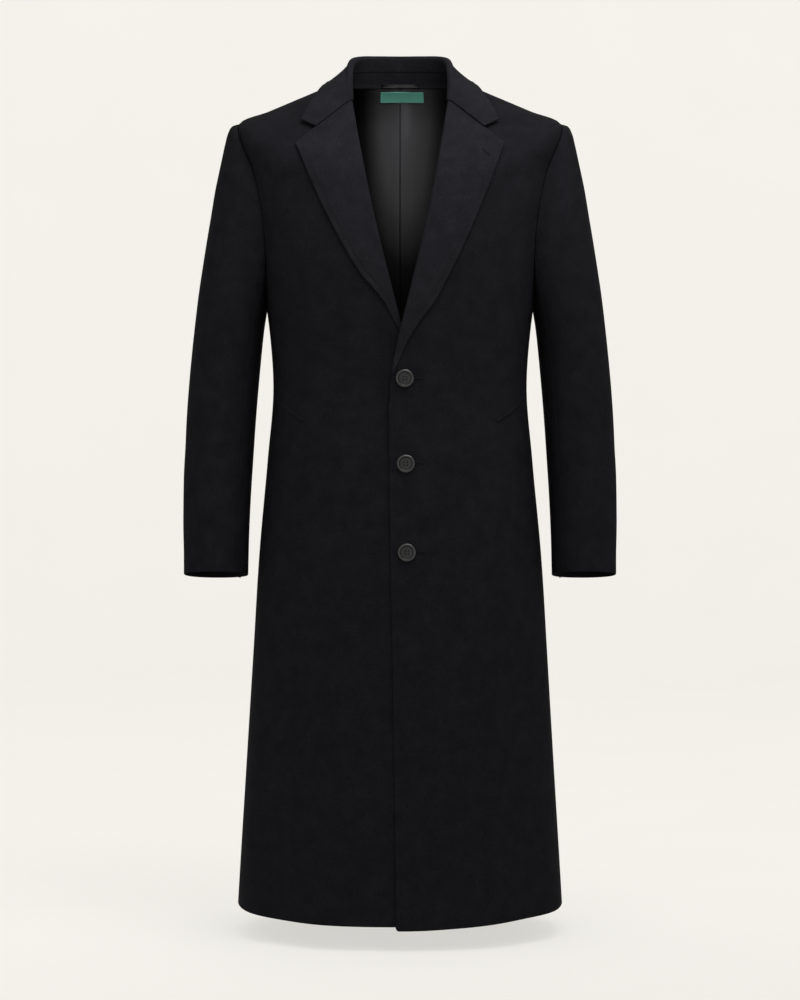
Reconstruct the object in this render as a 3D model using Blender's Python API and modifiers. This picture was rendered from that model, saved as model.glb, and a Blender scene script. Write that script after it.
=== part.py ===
"""A long single-breasted topcoat with notch lapels, filled out as it is worn, with nobody in it.

All sizes are millimetres until the meshes are made. The coat faces -Y, +Z is up and +X is the
wearer's left. The origin is on the centre line, level with the points where neck and shoulder meet.
"""

from collections import namedtuple
from functools import lru_cache
import math

import bmesh
import bpy
from mathutils.bvhtree import BVHTree
import numpy as np

MM = 0.001
LEFT = 1
RIGHT = -1
SIDE_NAMES = {LEFT: "left", RIGHT: "right"}

# Walls and clearances
CLOTH = 2.5
LAPEL_WALL = 2.6
LINING_WALL = 1.0
WELT_WALL = 1.6
LABEL_WALL = 1.0
TAPE_WALL = 1.6
SEAM_GAP = 0.3
LINING_GAP = 2.0
WELT_GAP = 0.5
SEAM_STRIP = 1.2
INSET_POWER = 2.2

# Rings of the body from hem to neck: the side point, then how far out and how high the front and
# back of the ring are, and how square its corners are
Level = namedtuple("Level", "name side_x side_z front_y front_z back_y back_z square")
TORSO = (
    Level("hem", 234.2, -1192, -200, -1192, 190, -1192, 2.25),
    Level("calf", 228.3, -1090, -192, -1090, 183, -1090, 2.3),
    Level("knee", 222.6, -996, -185, -996, 176, -996, 2.3),
    Level("thigh", 211.7, -822, -172, -822, 162, -822, 2.35),
    Level("seat", 203, -677, -160, -677, 150, -677, 2.4),
    Level("hip", 191.4, -547, -149, -547, 137, -547, 2.45),
    Level("waist", 183.2, -440, -140, -440, 119, -440, 2.5),
    Level("ribs", 188.5, -362, -144, -362, 121, -360, 2.5),
    Level("armpit", 193.5, -322, -147, -326, 125, -316, 2.5),
    Level("chest", 201, -258, -149, -275, 130, -248, 2.5),
    Level("blade", 210, -190, -146, -222, 132, -178, 2.5),
    Level("upper", 222, -125, -139, -177, 128, -119, 2.4),
    Level("tip", 233, -60.3, -128, -142, 120, -74, 2.3),
    Level("shoulder", 190, -42, -112, -118, 111, -42, 2.2),
    Level("yoke", 140, -20.7, -93, -95, 98, -16, 2.1),
    Level("neck", 88, 1.5, -70, -74, 81, 7, 2.0),
)
TILT_POWER = 1.8
RING_SAMPLES = 121

# Armhole: arc distances from the side line to its edge, front and back
ARMHOLE_FRONT = 72
ARMHOLE_BACK = 80
ARMHOLE_ROUND = 2.3

# Fronts: edges of the two fronts across the centre line at the waist and the hem
FRONT_EDGE = {LEFT: (-15.7, -5.8), RIGHT: (-30.0, -24.0)}
LAP_REACH = (78, 12)
LAP_LIFT = {LEFT: 2.0, RIGHT: -1.9}
ROLL_LIFT = {LEFT: 5.2, RIGHT: -4.6}
ROLL_LIFT_SPAN = (-520, -405, -330, -190)
HEM_DROP = 5.5
HEM_DROP_REACH = 100

# Lapels: seen from the front, x and z of the roll line's top, the lapel's tip and notch
GORGE = (68.4, -30.0)
NOTCH = (119.7, -77.0)
LAPEL_TIP = (147.6, -103.0)
COLLAR_TIP = (141.2, -66.5)
ROLL_CROSSING = {LEFT: -366, RIGHT: -350}
BREAK_X = {LEFT: -11.5, RIGHT: -4.0}
ROLL_BOW = 5.0
LAPEL_BELLY = 10.0
LAPEL_FOOT = (5.0, -2.0)
BELLY_POWER = 1.2
FOLD_RADIUS = 5.4
PANEL_SETBACK = 5.6
LAPEL_EDGE_LIFT = 5.4
FACING_TURN = (5, 14)
FACING_FULL_SHARE = 0.67
FOLD_CLEAR = 1.8
FOLD_CLEAR_MOST = 0.9

# Collar: the fold it turns over at, from the gorge to the nape
Fold = namedtuple("Fold", "name x y z")
COLLAR_FOLD = (
    Fold("gorge", 68.4, -50, -29),
    Fold("throat", 69.5, -27, 3),
    Fold("side", 69.0, 2, 31),
    Fold("nape_side", 57, 46, 44.5),
    Fold("back", 32, 67, 47),
    Fold("nape", 0, 74.5, 47.5),
)
COLLAR_RADIUS = 4.2
COLLAR_MIDDLE = (134.5, -36.0)
COLLAR_SHOULDER_X = 121
COLLAR_BACK_Z = -20
COLLAR_LIFT = 4.4
STAND_SHARE = 0.5
STAND_START = 0.26
STAND_EDGE_GAP = 0.03
COLLAR_START = 0.008
COLLAR_INNER_SHIFT = 2.0
GORGE_DOWN_SPAN = 0.14
GORGE_IN_SPAN = 0.36
COLLAR_END_GAP = 0.8
END_FADE_SPAN = 0.45
END_FADE_POWER = 1.5
COLLAR_BULGE = 3.5
BULGE_POWER = 0.7
BULGE_SPAN = (0.02, 0.12, 0.22, 0.5)

# Sleeves: rows of the cap, by the angle round the armhole where they end and their outermost point
Cap = namedtuple("Cap", "name turn outer_x outer_z spread")
SLEEVE_CAP = (
    Cap("head", 37, 243, -63.0, 90),
    Cap("head_turn", 44, 248.6, -73, 90),
    Cap("crown", 53, 252.6, -88, 92),
    Cap("upper", 65, 258.2, -114, 95),
    Cap("middle", 79, 266.4, -153, 99),
    Cap("lower", 94, 275.0, -200, 106),
    Cap("pitch", 110, 282.2, -245, 115),
)
CAP_TOP_TURNS = (30, 15, 0)
UNDER_TURNS = (124, 140, 160, 180)
SEAM_OPEN = (1.5, 0.9, 0.4)
CAP_SQUARE = 2.25
# and rings of the arm below the armhole
Ring = namedtuple("Ring", "name z outer_x inner_x front_y back_y tilt")
SLEEVE_ARM = (
    Ring("bicep", -373, 299.4, 198.9, -72, 80, 0.0),
    Ring("elbow", -460, 307.2, 206.8, -70, 71, 0.02),
    Ring("forearm", -550, 310.6, 212.6, -74, 55, 0.06),
    Ring("wrist", -634, 311.0, 216.8, -82, 38, 0.09),
    Ring("cuff", -712, 310.3, 218.2, -90, 22, 0.11),
)
ARM_SQUARE = 2.2
SEAM_ANGLE = 132

# Pockets, buttons, label and loop
WELT_FRONT = (136.0, -494.0)
WELT_RISE = 0.52
WELT_LENGTH = 96
WELT_WIDTH = 6.0
WELT_STEPS = 14
BUTTONS = ((6.6, -435), (8.0, -554.5), (9.4, -678))
BUTTON_DIAMETER = 25.4
BUTTON_HOLE = 2.2
BUTTON_HOLE_DEPTH = 4.0
BUTTON_HOLE_MIDDLE = 3.4
BUTTON_HOLE_SEGMENTS = 8
BUTTON_HOLE_SPACING = 4.2
BUTTON_GAP = 0.4
BUTTON_SEGMENTS = 20
# the button's turned profile, its radius as a share of the rim's
Turn = namedtuple("Turn", "name radius height")
BUTTON_PROFILE = (
    Turn("dish_middle", 0.0, 2.9),
    Turn("dish_edge", 0.62, 2.9),
    Turn("step_top", 0.72, 3.9),
    Turn("rim_crest", 0.86, 4.2),
    Turn("rim_outside", 0.96, 3.6),
    Turn("rim_widest", 1.0, 2.6),
    Turn("rim_under", 0.93, 1.5),
    Turn("back", 0.6, 0.9),
    Turn("shank_top", 0.236, 0.8),
    Turn("shank_foot", 0.205, 0.0),
    Turn("shank_middle", 0.0, 0.0),
)
LINING_HEM = 40
LINING_TOP = 2.0
LINING_TRIM = 2.5
LABEL_SIZE = (65, 16)
LABEL_CENTRE = (2.6, -8.5)
LABEL_GAP = 0.4
LOOP_LENGTH = 55
LOOP_WIDTH = 6
LOOP_BOW = 8.0
LOOP_TOP_Z = 9.5
LOOP_SEAT_Z = 4.0
LOOP_SAG = 1.5
LOOP_GAP = 4.0

# Grid counts
ROWS_BELOW = 9
ROWS_SHOULDER = 6
FRONT_COLUMNS = 13
FRONT_CROWDING = 1.25
BACK_COLUMNS = 8
LAPEL_ROWS = 16
LAPEL_CROWDING = 0.75
COLLAR_HALF_ROWS = 14
SLEEVE_COLUMNS = 12
UNDER_COLUMNS = 7
ARM_ROWS = 6
LABEL_COLUMNS = 10
LABEL_ROWS = 3
LOOP_COLUMNS = 12
LOOP_ROWS = 2


def smooth(value):
    """Ease from 0 to 1."""
    value = min(max(value, 0.0), 1.0)
    return value * value * (3 - 2 * value)


def spline(knots, values, at):
    """A smooth curve through values at their knots, without overshoot at the ends."""
    knots = np.asarray(knots, float)
    values = np.asarray(values, float)
    slopes = np.gradient(values, knots, axis=0)
    i = int(np.clip(np.searchsorted(knots, at) - 1, 0, len(knots) - 2))
    span = knots[i + 1] - knots[i]
    t = (at - knots[i]) / span
    return (
        (2 * t**3 - 3 * t**2 + 1) * values[i]
        + (t**3 - 2 * t**2 + t) * span * slopes[i]
        + (3 * t**2 - 2 * t**3) * values[i + 1]
        + (t**3 - t**2) * span * slopes[i + 1]
    )


def unit(vector):
    return vector / np.linalg.norm(vector)


def lengths(points):
    """Running length along a line of points."""
    steps = np.linalg.norm(np.diff(points, axis=0), axis=1)
    return np.concatenate(([0.0], np.cumsum(steps)))


def along(points, where):
    """Points at given distances along a line of points."""
    run = lengths(points)
    return np.stack([np.interp(where, run, points[:, k]) for k in range(3)], axis=-1)


def spaced(start, end, count, crowding=1.0, inset=0.0):
    """Places from start to end, with a narrow strip at each end to keep the edge true.

    An inset moves the end back and draws the places near it closer together.
    """
    low, high = start + SEAM_STRIP, end - SEAM_STRIP
    share = np.linspace(0, 1, count + 1)
    inner = low + (high - low) * share**crowding - inset * share**INSET_POWER
    return np.concatenate(([start], inner, [end - inset]))


# The body as a surface of rings

SIDE_LINE = np.array([(row.side_x, row.side_z) for row in TORSO], float)
HEIGHTS = np.concatenate(([0.0], np.cumsum(np.linalg.norm(np.diff(SIDE_LINE, axis=0), axis=1))))
LEVELS = np.array([row[1:] for row in TORSO], float)
HEIGHT_OF = {row.name: height for row, height in zip(TORSO, HEIGHTS)}


@lru_cache(maxsize=None)
def ring(back, height):
    """A quarter of the body's ring at a height, from the centre line to the side."""
    side_x, side_z, front_y, front_z, back_y, back_z, square = spline(HEIGHTS, LEVELS, height)
    end_y = back_y if back else front_y
    end_z = back_z if back else front_z
    turn = np.linspace(0, math.pi / 2, RING_SAMPLES)
    across = np.sin(turn) ** (2 / square)
    deep = np.clip(np.cos(turn), 0, 1) ** (2 / square)
    points = np.stack(
        (side_x * across, end_y * deep, side_z + (end_z - side_z) * deep**TILT_POWER), axis=-1
    )
    return points, lengths(points)


def girth(back, height):
    """Distance round the body from the centre line to the side."""
    return ring(back, round(height, 4))[1][-1]


def on_body(back, reach, height):
    """The point at a distance round from the centre line, negative when past it."""
    points, run = ring(back, round(height, 4))
    point = np.array([np.interp(abs(reach), run, points[:, k]) for k in range(3)])
    if reach < 0:
        point[0] = -point[0]
    return point


def outward(back, reach, height):
    """The body's outward direction at a point."""
    step = 2.0
    top = HEIGHTS[-1]
    side = girth(back, height)
    round_way = on_body(back, min(reach + step, side), height) - on_body(back, reach - step, height)
    up_way = on_body(back, reach, min(height + step, top)) - on_body(back, reach, max(height - step, 0))
    normal = unit(np.cross(round_way, up_way))
    return -normal if back else normal


def find_front(x, z):
    """Distance round and height of the point on the front seen at x, z."""
    reach = x
    height = float(np.interp(z, LEVELS[:, 3], HEIGHTS))
    for _ in range(12):
        here = on_body(False, reach, height)[[0, 2]]
        miss = np.array((x, z)) - here
        if np.abs(miss).max() < 0.01:
            break
        by_reach = (on_body(False, reach + 1, height)[[0, 2]] - here)
        by_height = (on_body(False, reach, height - 1)[[0, 2]] - here) * -1
        step = np.linalg.solve(np.stack((by_reach, by_height), axis=1), miss)
        reach += float(np.clip(step[0], -40, 40))
        height = float(np.clip(height + np.clip(step[1], -40, 40), 0, HEIGHTS[-1]))
    return reach, height


def lap(side, reach, z):
    """How far a front stands off the body near the centre, where one front lies over the other."""
    near = smooth((LAP_REACH[0] - reach) / (LAP_REACH[0] - LAP_REACH[1]))
    low, low_full, high_full, high = ROLL_LIFT_SPAN
    rolled = smooth((z - low) / (low_full - low)) * smooth((high - z) / (high - high_full))
    return near * (LAP_LIFT[side] + ROLL_LIFT[side] * rolled)


def hem_drop(side, x, height):
    """The left front hangs a little lower at its edge."""
    if side == RIGHT:
        return 0.0
    low = smooth(1 - height / HEIGHT_OF["knee"])
    return HEM_DROP * low * smooth(1 - x / HEM_DROP_REACH)


def front_point(side, reach, height, lift=0.0):
    """A point on the outer face of a front, moved out by a lift, with the wearer's left as +X."""
    point = on_body(False, reach, height)
    normal = outward(False, reach, height)
    point = point + normal * (lap(side, reach, point[2]) + lift)
    point[2] -= hem_drop(side, point[0], height)
    return point, normal


# Edges of the panels

ARM_MIDDLE = (HEIGHT_OF["tip"] + HEIGHT_OF["armpit"]) / 2
ARM_HALF = (HEIGHT_OF["tip"] - HEIGHT_OF["armpit"]) / 2


def armhole_height(turn):
    """Height of the armhole's edge at an angle, 0 at the shoulder and 180 at the armpit."""
    return ARM_MIDDLE + ARM_HALF * math.cos(math.radians(turn))


def armhole_inset(back, height):
    """Distance from the side line to the armhole's edge at a height; zero above and below it."""
    share = (height - ARM_MIDDLE) / ARM_HALF
    if abs(share) >= 1:
        return 0.0
    turn = math.sqrt(1 - share * share)
    width = ARMHOLE_BACK if back else ARMHOLE_FRONT
    return width * turn ** (2 / ARMHOLE_ROUND)


def armhole_point(turn, gap):
    """A point on the left armhole's edge, front for angles up to 180, moved by a gap into the sleeve."""
    back = turn > 180
    height = armhole_height(turn)
    inset = armhole_inset(back, height)
    reach = girth(back, height) - max(inset - gap, 0)
    level = math.cos(math.radians(turn))
    return on_body(back, reach, height) + gap * np.array((abs(level), 0, max(-level, 0)))


def roll_x(side, z):
    """The roll line seen from the front: x at a height, left side as +X."""
    share = (z - ROLL_CROSSING[side]) / (GORGE[1] - ROLL_CROSSING[side])
    return GORGE[0] * share + ROLL_BOW * math.sin(math.pi * min(max(share, 0), 1))


def break_z(side):
    """Height where the roll line meets the front edge."""
    slope = (GORGE[1] - ROLL_CROSSING[side]) / GORGE[0]
    return ROLL_CROSSING[side] + BREAK_X[side] * slope


def front_edge(side, height):
    """Distance past the centre line of a front's edge, below the roll line."""
    at_waist, at_hem = FRONT_EDGE[side]
    share = smooth(height / HEIGHT_OF["waist"])
    return at_hem + (at_waist - at_hem) * share


def front_start(side, height):
    """Where a front begins at a height: at its edge, then at the roll line."""
    edge = front_edge(side, height)
    low, high = edge, girth(False, height)

    def past_roll(reach):
        point = on_body(False, reach, height)
        return point[0] - roll_x(side, point[2]) - PANEL_SETBACK

    if past_roll(edge) >= 0:
        return edge
    for _ in range(40):
        middle = (low + high) / 2
        if past_roll(middle) < 0:
            low = middle
        else:
            high = middle
    return high


def panel_heights(top):
    below = np.linspace(0, HEIGHT_OF["armpit"], ROWS_BELOW + 1)
    turns = sorted((*CAP_TOP_TURNS, *(cap.turn for cap in SLEEVE_CAP), *UNDER_TURNS), reverse=True)
    armhole = [armhole_height(turn) for turn in turns[1:]]
    shoulder = np.linspace(HEIGHT_OF["tip"], top, ROWS_SHOULDER + 1)
    return np.concatenate((below, armhole, shoulder[1:]))


# Making objects

def clear_scene():
    for thing in list(bpy.data.objects):
        bpy.data.objects.remove(thing, do_unlink=True)


def material(name, colour, roughness):
    made = bpy.data.materials.new(name)
    made.use_nodes = True
    shader = made.node_tree.nodes["Principled BSDF"]
    shader.inputs["Base Color"].default_value = (*colour, 1)
    shader.inputs["Roughness"].default_value = roughness
    return made


def add_object(name, mesh, shade):
    made = bpy.data.objects.new(name, mesh)
    made.data.materials.append(shade)
    PARTS.objects.link(made)
    return made


def cloth(name, rows, wall, shade, flip=False):
    """A wall of cloth: a grid laid through rows of points on its face, thickened behind the face."""
    rows = np.asarray(rows, float)
    if flip:
        rows = rows[:, ::-1]
    last_row, last_column = rows.shape[0] - 1, rows.shape[1] - 1
    sheet = bmesh.new()
    bmesh.ops.create_grid(sheet, x_segments=last_column, y_segments=last_row, size=1)
    for vertex in sheet.verts:
        column = round((vertex.co.x + 1) / 2 * last_column)
        row = round((vertex.co.y + 1) / 2 * last_row)
        vertex.co = rows[row, column] * MM
    mesh = bpy.data.meshes.new(name)
    sheet.to_mesh(mesh)
    sheet.free()
    made = add_object(name, mesh, shade)
    thick = made.modifiers.new("wall", "SOLIDIFY")
    thick.thickness = wall * MM
    thick.offset = -1
    return made


def face_tree(rows):
    """The flat faces of a grid of points, to find places on them."""
    rows = np.asarray(rows, float)
    columns = rows.shape[1]
    quads = [
        (r * columns + c, r * columns + c + 1, (r + 1) * columns + c + 1, (r + 1) * columns + c)
        for r in range(rows.shape[0] - 1)
        for c in range(columns - 1)
    ]
    return BVHTree.FromPolygons(rows.reshape(-1, 3).tolist(), quads)


def settle(face, point, normal, lift):
    """A point moved onto a grid's flat faces, then out along a direction."""
    return np.array(FACES[face].find_nearest(point.tolist())[0]) + normal * lift


def mirrored(rows):
    """The same rows on the other side of the centre line."""
    return np.asarray(rows, float) * np.array((-1, 1, 1))


# Fronts, backs and lining

def front_rows(side):
    rows = []
    for height in panel_heights(HEIGHTS[-1] - SEAM_GAP):
        start = front_start(side, height)
        side_seam = girth(False, height) - SEAM_GAP / 2
        inset = armhole_inset(False, height)
        reaches = spaced(start, side_seam, FRONT_COLUMNS, FRONT_CROWDING, inset)
        rows.append([front_point(side, reach, height)[0] for reach in reaches])
    return np.array(rows)


def back_reaches(height):
    """Places along a row of the left back, from the centre seam to the side."""
    side_seam = girth(True, height) - SEAM_GAP / 2
    return spaced(SEAM_GAP / 2, side_seam, BACK_COLUMNS, inset=armhole_inset(True, height))


def lining_reaches(height):
    """Every second place of the back, kept clear of the armhole and side seams."""
    reaches = back_reaches(height)[1::2]
    reaches[0] = SEAM_GAP / 2
    reaches[-1] -= LINING_TRIM
    return reaches


def back_row(reaches, height, depth=0.0):
    """A row of the left back, or of what lies a depth inside it."""
    return [on_body(True, r, height) - depth * outward(True, r, height) for r in reaches]


def make_panels():
    heights = panel_heights(HEIGHTS[-1] - SEAM_GAP)
    lined = np.clip(heights, LINING_HEM, HEIGHTS[-1] - LINING_TOP)
    back = [back_row(back_reaches(height), height) for height in heights]
    lining = [back_row(lining_reaches(height), height, CLOTH + LINING_GAP) for height in lined]
    for side in (LEFT, RIGHT):
        place = np.asarray if side == LEFT else mirrored
        name = SIDE_NAMES[side]
        front = front_rows(side)
        FACES[f"front_{name}"] = face_tree(front)
        cloth(f"front_{name}", place(front), CLOTH, WOOL, flip=side == RIGHT)
        cloth(f"back_{name}", place(back), CLOTH, WOOL, flip=side == LEFT)
        cloth(f"back_lining_{name}", place(lining), LINING_WALL, SATIN, flip=side == LEFT)
    inner = np.array([back_row(lining_reaches(h), h, CLOTH + LINING_GAP + LINING_WALL) for h in lined])
    FACES["lining"] = face_tree(np.concatenate((mirrored(inner)[:, ::-1], inner), axis=1))


# Sleeves

def arm_ring(z_share, start_angle, end_angle, samples=61):
    """Part of a ring of the arm; angle 0 points away from the body and 90 to the back."""
    _, outer_x, inner_x, front_y, back_y, tilt = (
        spline(ARM_KNOTS, ARM_VALUES[:, k], z_share) for k in range(6)
    )
    z = ARM_VALUES[0, 0] + (ARM_VALUES[-1, 0] - ARM_VALUES[0, 0]) * z_share
    angles = np.radians(np.linspace(start_angle, end_angle, samples))
    across, deep = np.cos(angles), np.sin(angles)
    power = 2 / ARM_SQUARE
    x = (outer_x + inner_x) / 2 + (outer_x - inner_x) / 2 * np.sign(across) * np.abs(across) ** power
    y_middle = (front_y + back_y) / 2
    y = y_middle + (back_y - front_y) / 2 * np.sign(deep) * np.abs(deep) ** power
    return np.stack((x, y, z - tilt * (y - y_middle)), axis=-1)


ARM_VALUES = np.array([row[1:] for row in SLEEVE_ARM], float)
ARM_KNOTS = (ARM_VALUES[:, 0] - ARM_VALUES[0, 0]) / (ARM_VALUES[-1, 0] - ARM_VALUES[0, 0])


def cap_row(cap, samples=61):
    """A row of the sleeve's cap from the front of the armhole round the outside to its back."""
    front = armhole_point(cap.turn, SEAM_GAP)
    back = armhole_point(360 - cap.turn, SEAM_GAP)
    angles = np.radians(np.linspace(-cap.spread, cap.spread, samples))
    power = 2 / CAP_SQUARE
    out = np.sign(np.cos(angles)) * np.abs(np.cos(angles)) ** power
    out = (out - out[0]) / (1 - out[0])
    round_way = np.sign(np.sin(angles)) * np.abs(np.sin(angles)) ** power
    round_way = round_way / round_way[-1]
    middle = (front + back) / 2
    reach = (np.array((cap.outer_x, 0, cap.outer_z)) - middle) * np.array((1, 0, 1))
    return middle + np.outer(round_way, (back - front) / 2) + np.outer(out, reach)


def resampled(points, columns, inset=SEAM_GAP / 2):
    places = spaced(inset, lengths(points)[-1] - inset, columns)
    return along(points, places)


def arm_rows(share, inset=SEAM_GAP / 2):
    """Matching rows of the top and under sleeve at a place down the arm."""
    top = resampled(arm_ring(share, -SEAM_ANGLE, SEAM_ANGLE), SLEEVE_COLUMNS, inset)
    under = resampled(arm_ring(share, -SEAM_ANGLE, SEAM_ANGLE - 360), UNDER_COLUMNS, inset)
    return top, under


def sleeve_rows():
    """Rows of the left top sleeve and under sleeve."""
    over_turns = [*CAP_TOP_TURNS, *(360 - turn for turn in CAP_TOP_TURNS[-2::-1])]
    over_arc = np.array([armhole_point(turn, SEAM_GAP) for turn in over_turns])
    top_rows = [resampled(over_arc, SLEEVE_COLUMNS)]
    top_rows += [resampled(cap_row(cap), SLEEVE_COLUMNS) for cap in SLEEVE_CAP[:-1]]
    pitch = SLEEVE_CAP[-1]
    scoop_turns = [pitch.turn, *UNDER_TURNS]
    scoop_turns += [360 - turn for turn in scoop_turns[-2::-1]]
    scoop = np.array([armhole_point(turn, SEAM_GAP) for turn in scoop_turns])
    under_rows = []
    for step, inset in enumerate(SEAM_OPEN):
        share = step / len(SEAM_OPEN)
        upper = resampled(cap_row(pitch), SLEEVE_COLUMNS, inset)
        lower = resampled(scoop, UNDER_COLUMNS, inset)
        top, under = arm_rows(0, inset)
        top_rows.append(upper + (top - upper) * share)
        under_rows.append(lower + (under - lower) * share)
    for share in np.linspace(0, 1, ARM_ROWS + 1):
        top, under = arm_rows(share)
        top_rows.append(top)
        under_rows.append(under)
    return np.array(top_rows), np.array(under_rows)


def make_sleeves():
    top, under = sleeve_rows()
    for side in (LEFT, RIGHT):
        place = np.asarray if side == LEFT else mirrored
        name = SIDE_NAMES[side]
        cloth(f"sleeve_top_{name}", place(top), CLOTH, WOOL, flip=side == LEFT)
        cloth(f"sleeve_under_{name}", place(under), CLOTH, WOOL, flip=side == RIGHT)


# Lapels and collar

def turned_over(inner, apex, way, outer_line, tangent, radius, inner_steps=3, fold_steps=6):
    """A row of cloth turned over at a fold: up the inner leg, round the apex and out along a line."""
    normal = np.cross(tangent, way)
    normal = unit(normal) * math.copysign(1, np.dot(normal, outer_line[0] - inner))
    centre = apex + way * radius
    start = centre - normal * radius
    row = [inner + (start - inner) * k / inner_steps for k in range(inner_steps)]
    for turn in np.radians(np.linspace(-90, 90, fold_steps + 1)):
        row.append(centre + radius * (normal * math.sin(turn) - way * math.cos(turn)))
    return row + list(outer_line)


def lapel_row(side, share, steps=6):
    """A row of a lapel, from behind the front round the roll line to the lapel's edge."""
    bottom = break_z(side)
    roll_z = bottom + (GORGE[1] - bottom) * share
    roll = np.array((roll_x(side, roll_z), roll_z))
    foot = np.array((BREAK_X[side], bottom)) + LAPEL_FOOT
    edge = foot + (np.array(LAPEL_TIP) - foot) * share
    edge_way = unit(np.array(LAPEL_TIP) - foot)
    belly = LAPEL_BELLY * math.sin(math.pi * share) ** BELLY_POWER
    edge = edge + np.array((edge_way[1], -edge_way[0])) * belly

    def over(at, lift):
        x, z = roll + (edge - roll) * at
        return front_point(side, *find_front(x, z), lift)

    apex, normal = over(0.0, -CLOTH / 2)
    width = np.linalg.norm(edge - roll)
    turn_in = FACING_TURN[0] + (FACING_TURN[1] - FACING_TURN[0]) * smooth(share / FACING_FULL_SHARE)
    inner = over(turn_in / width, -CLOTH / 2 - FOLD_RADIUS)[0]
    past_fold = min(FOLD_RADIUS * FOLD_CLEAR, width * FOLD_CLEAR_MOST)
    outer_line = []
    for at in np.linspace(past_fold, width, steps + 1) / width:
        lift = FOLD_RADIUS - CLOTH / 2
        lift += (LAPEL_EDGE_LIFT - lift) * smooth(at)
        outer_line.append(over(at, lift)[0])
    way = unit(over(past_fold / width, -CLOTH / 2)[0] - apex)
    return inner, apex, way, outer_line


def make_lapels():
    shares = np.linspace(0, 1, LAPEL_ROWS + 1) ** LAPEL_CROWDING
    for side in (LEFT, RIGHT):
        parts = [lapel_row(side, share) for share in shares]
        apexes = np.array([part[1] for part in parts])
        tangents = np.gradient(apexes, axis=0)
        rows = [turned_over(*part, tangent, FOLD_RADIUS) for part, tangent in zip(parts, tangents)]
        if side == RIGHT:
            rows = mirrored(rows)
        cloth(f"lapel_{SIDE_NAMES[side]}", rows, LAPEL_WALL, WOOL, flip=side == RIGHT)


def neck_line(samples=80):
    """The left half of the neck seam on the inner face, from the gorge to the nape."""
    top = HEIGHTS[-1]
    start = front_start(LEFT, top)
    front = [(False, r) for r in np.linspace(start, girth(False, top), samples)]
    back = [(True, r) for r in np.linspace(girth(True, top), 0, samples)[1:]]
    return np.array([on_body(b, r, top) - CLOTH * outward(b, r, top) for b, r in front + back])


def collar_edge():
    """The left half of the collar's outer edge, lying just off the body from its tip to the nape."""
    reach, height = find_front(*COLLAR_TIP)
    shoulder = float(np.interp(-COLLAR_SHOULDER_X, -LEVELS[-4:, 0], HEIGHTS[-4:]))
    nape = float(np.interp(COLLAR_BACK_Z, LEVELS[-4:, 5], HEIGHTS[-4:]))
    spots = [(False, reach, height), (False, *find_front(*COLLAR_MIDDLE))]
    spots.append((False, girth(False, shoulder), shoulder))
    for share in (0.25, 0.5, 0.75, 1):
        level = shoulder + (nape - shoulder) * smooth(share)
        spots.append((True, girth(True, level) * (1 - share), level))
    points = np.array([on_body(*spot) + outward(*spot) * COLLAR_LIFT for spot in spots])
    knots = lengths(points)
    return np.array([spline(knots, points, at) for at in np.linspace(0, knots[-1], 80)])


def collar_end(places):
    """The collar's front end on the left: down the gorge seam, then out to the collar's tip."""
    corners = np.array((GORGE, NOTCH, COLLAR_TIP)) + COLLAR_END_GAP * unit(np.array((1.0, 1.0)))
    run = np.concatenate(([0], np.cumsum(np.linalg.norm(np.diff(corners, axis=0), axis=1))))
    points = []
    for place in places:
        x, z = (np.interp(place * run[-1], run, corners[:, k]) for k in range(2))
        lift = FOLD_RADIUS - CLOTH / 2
        lift += (LAPEL_EDGE_LIFT - lift) * smooth(place)
        points.append(front_point(LEFT, *find_front(x, z), lift)[0])
    return np.array(points)


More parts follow.
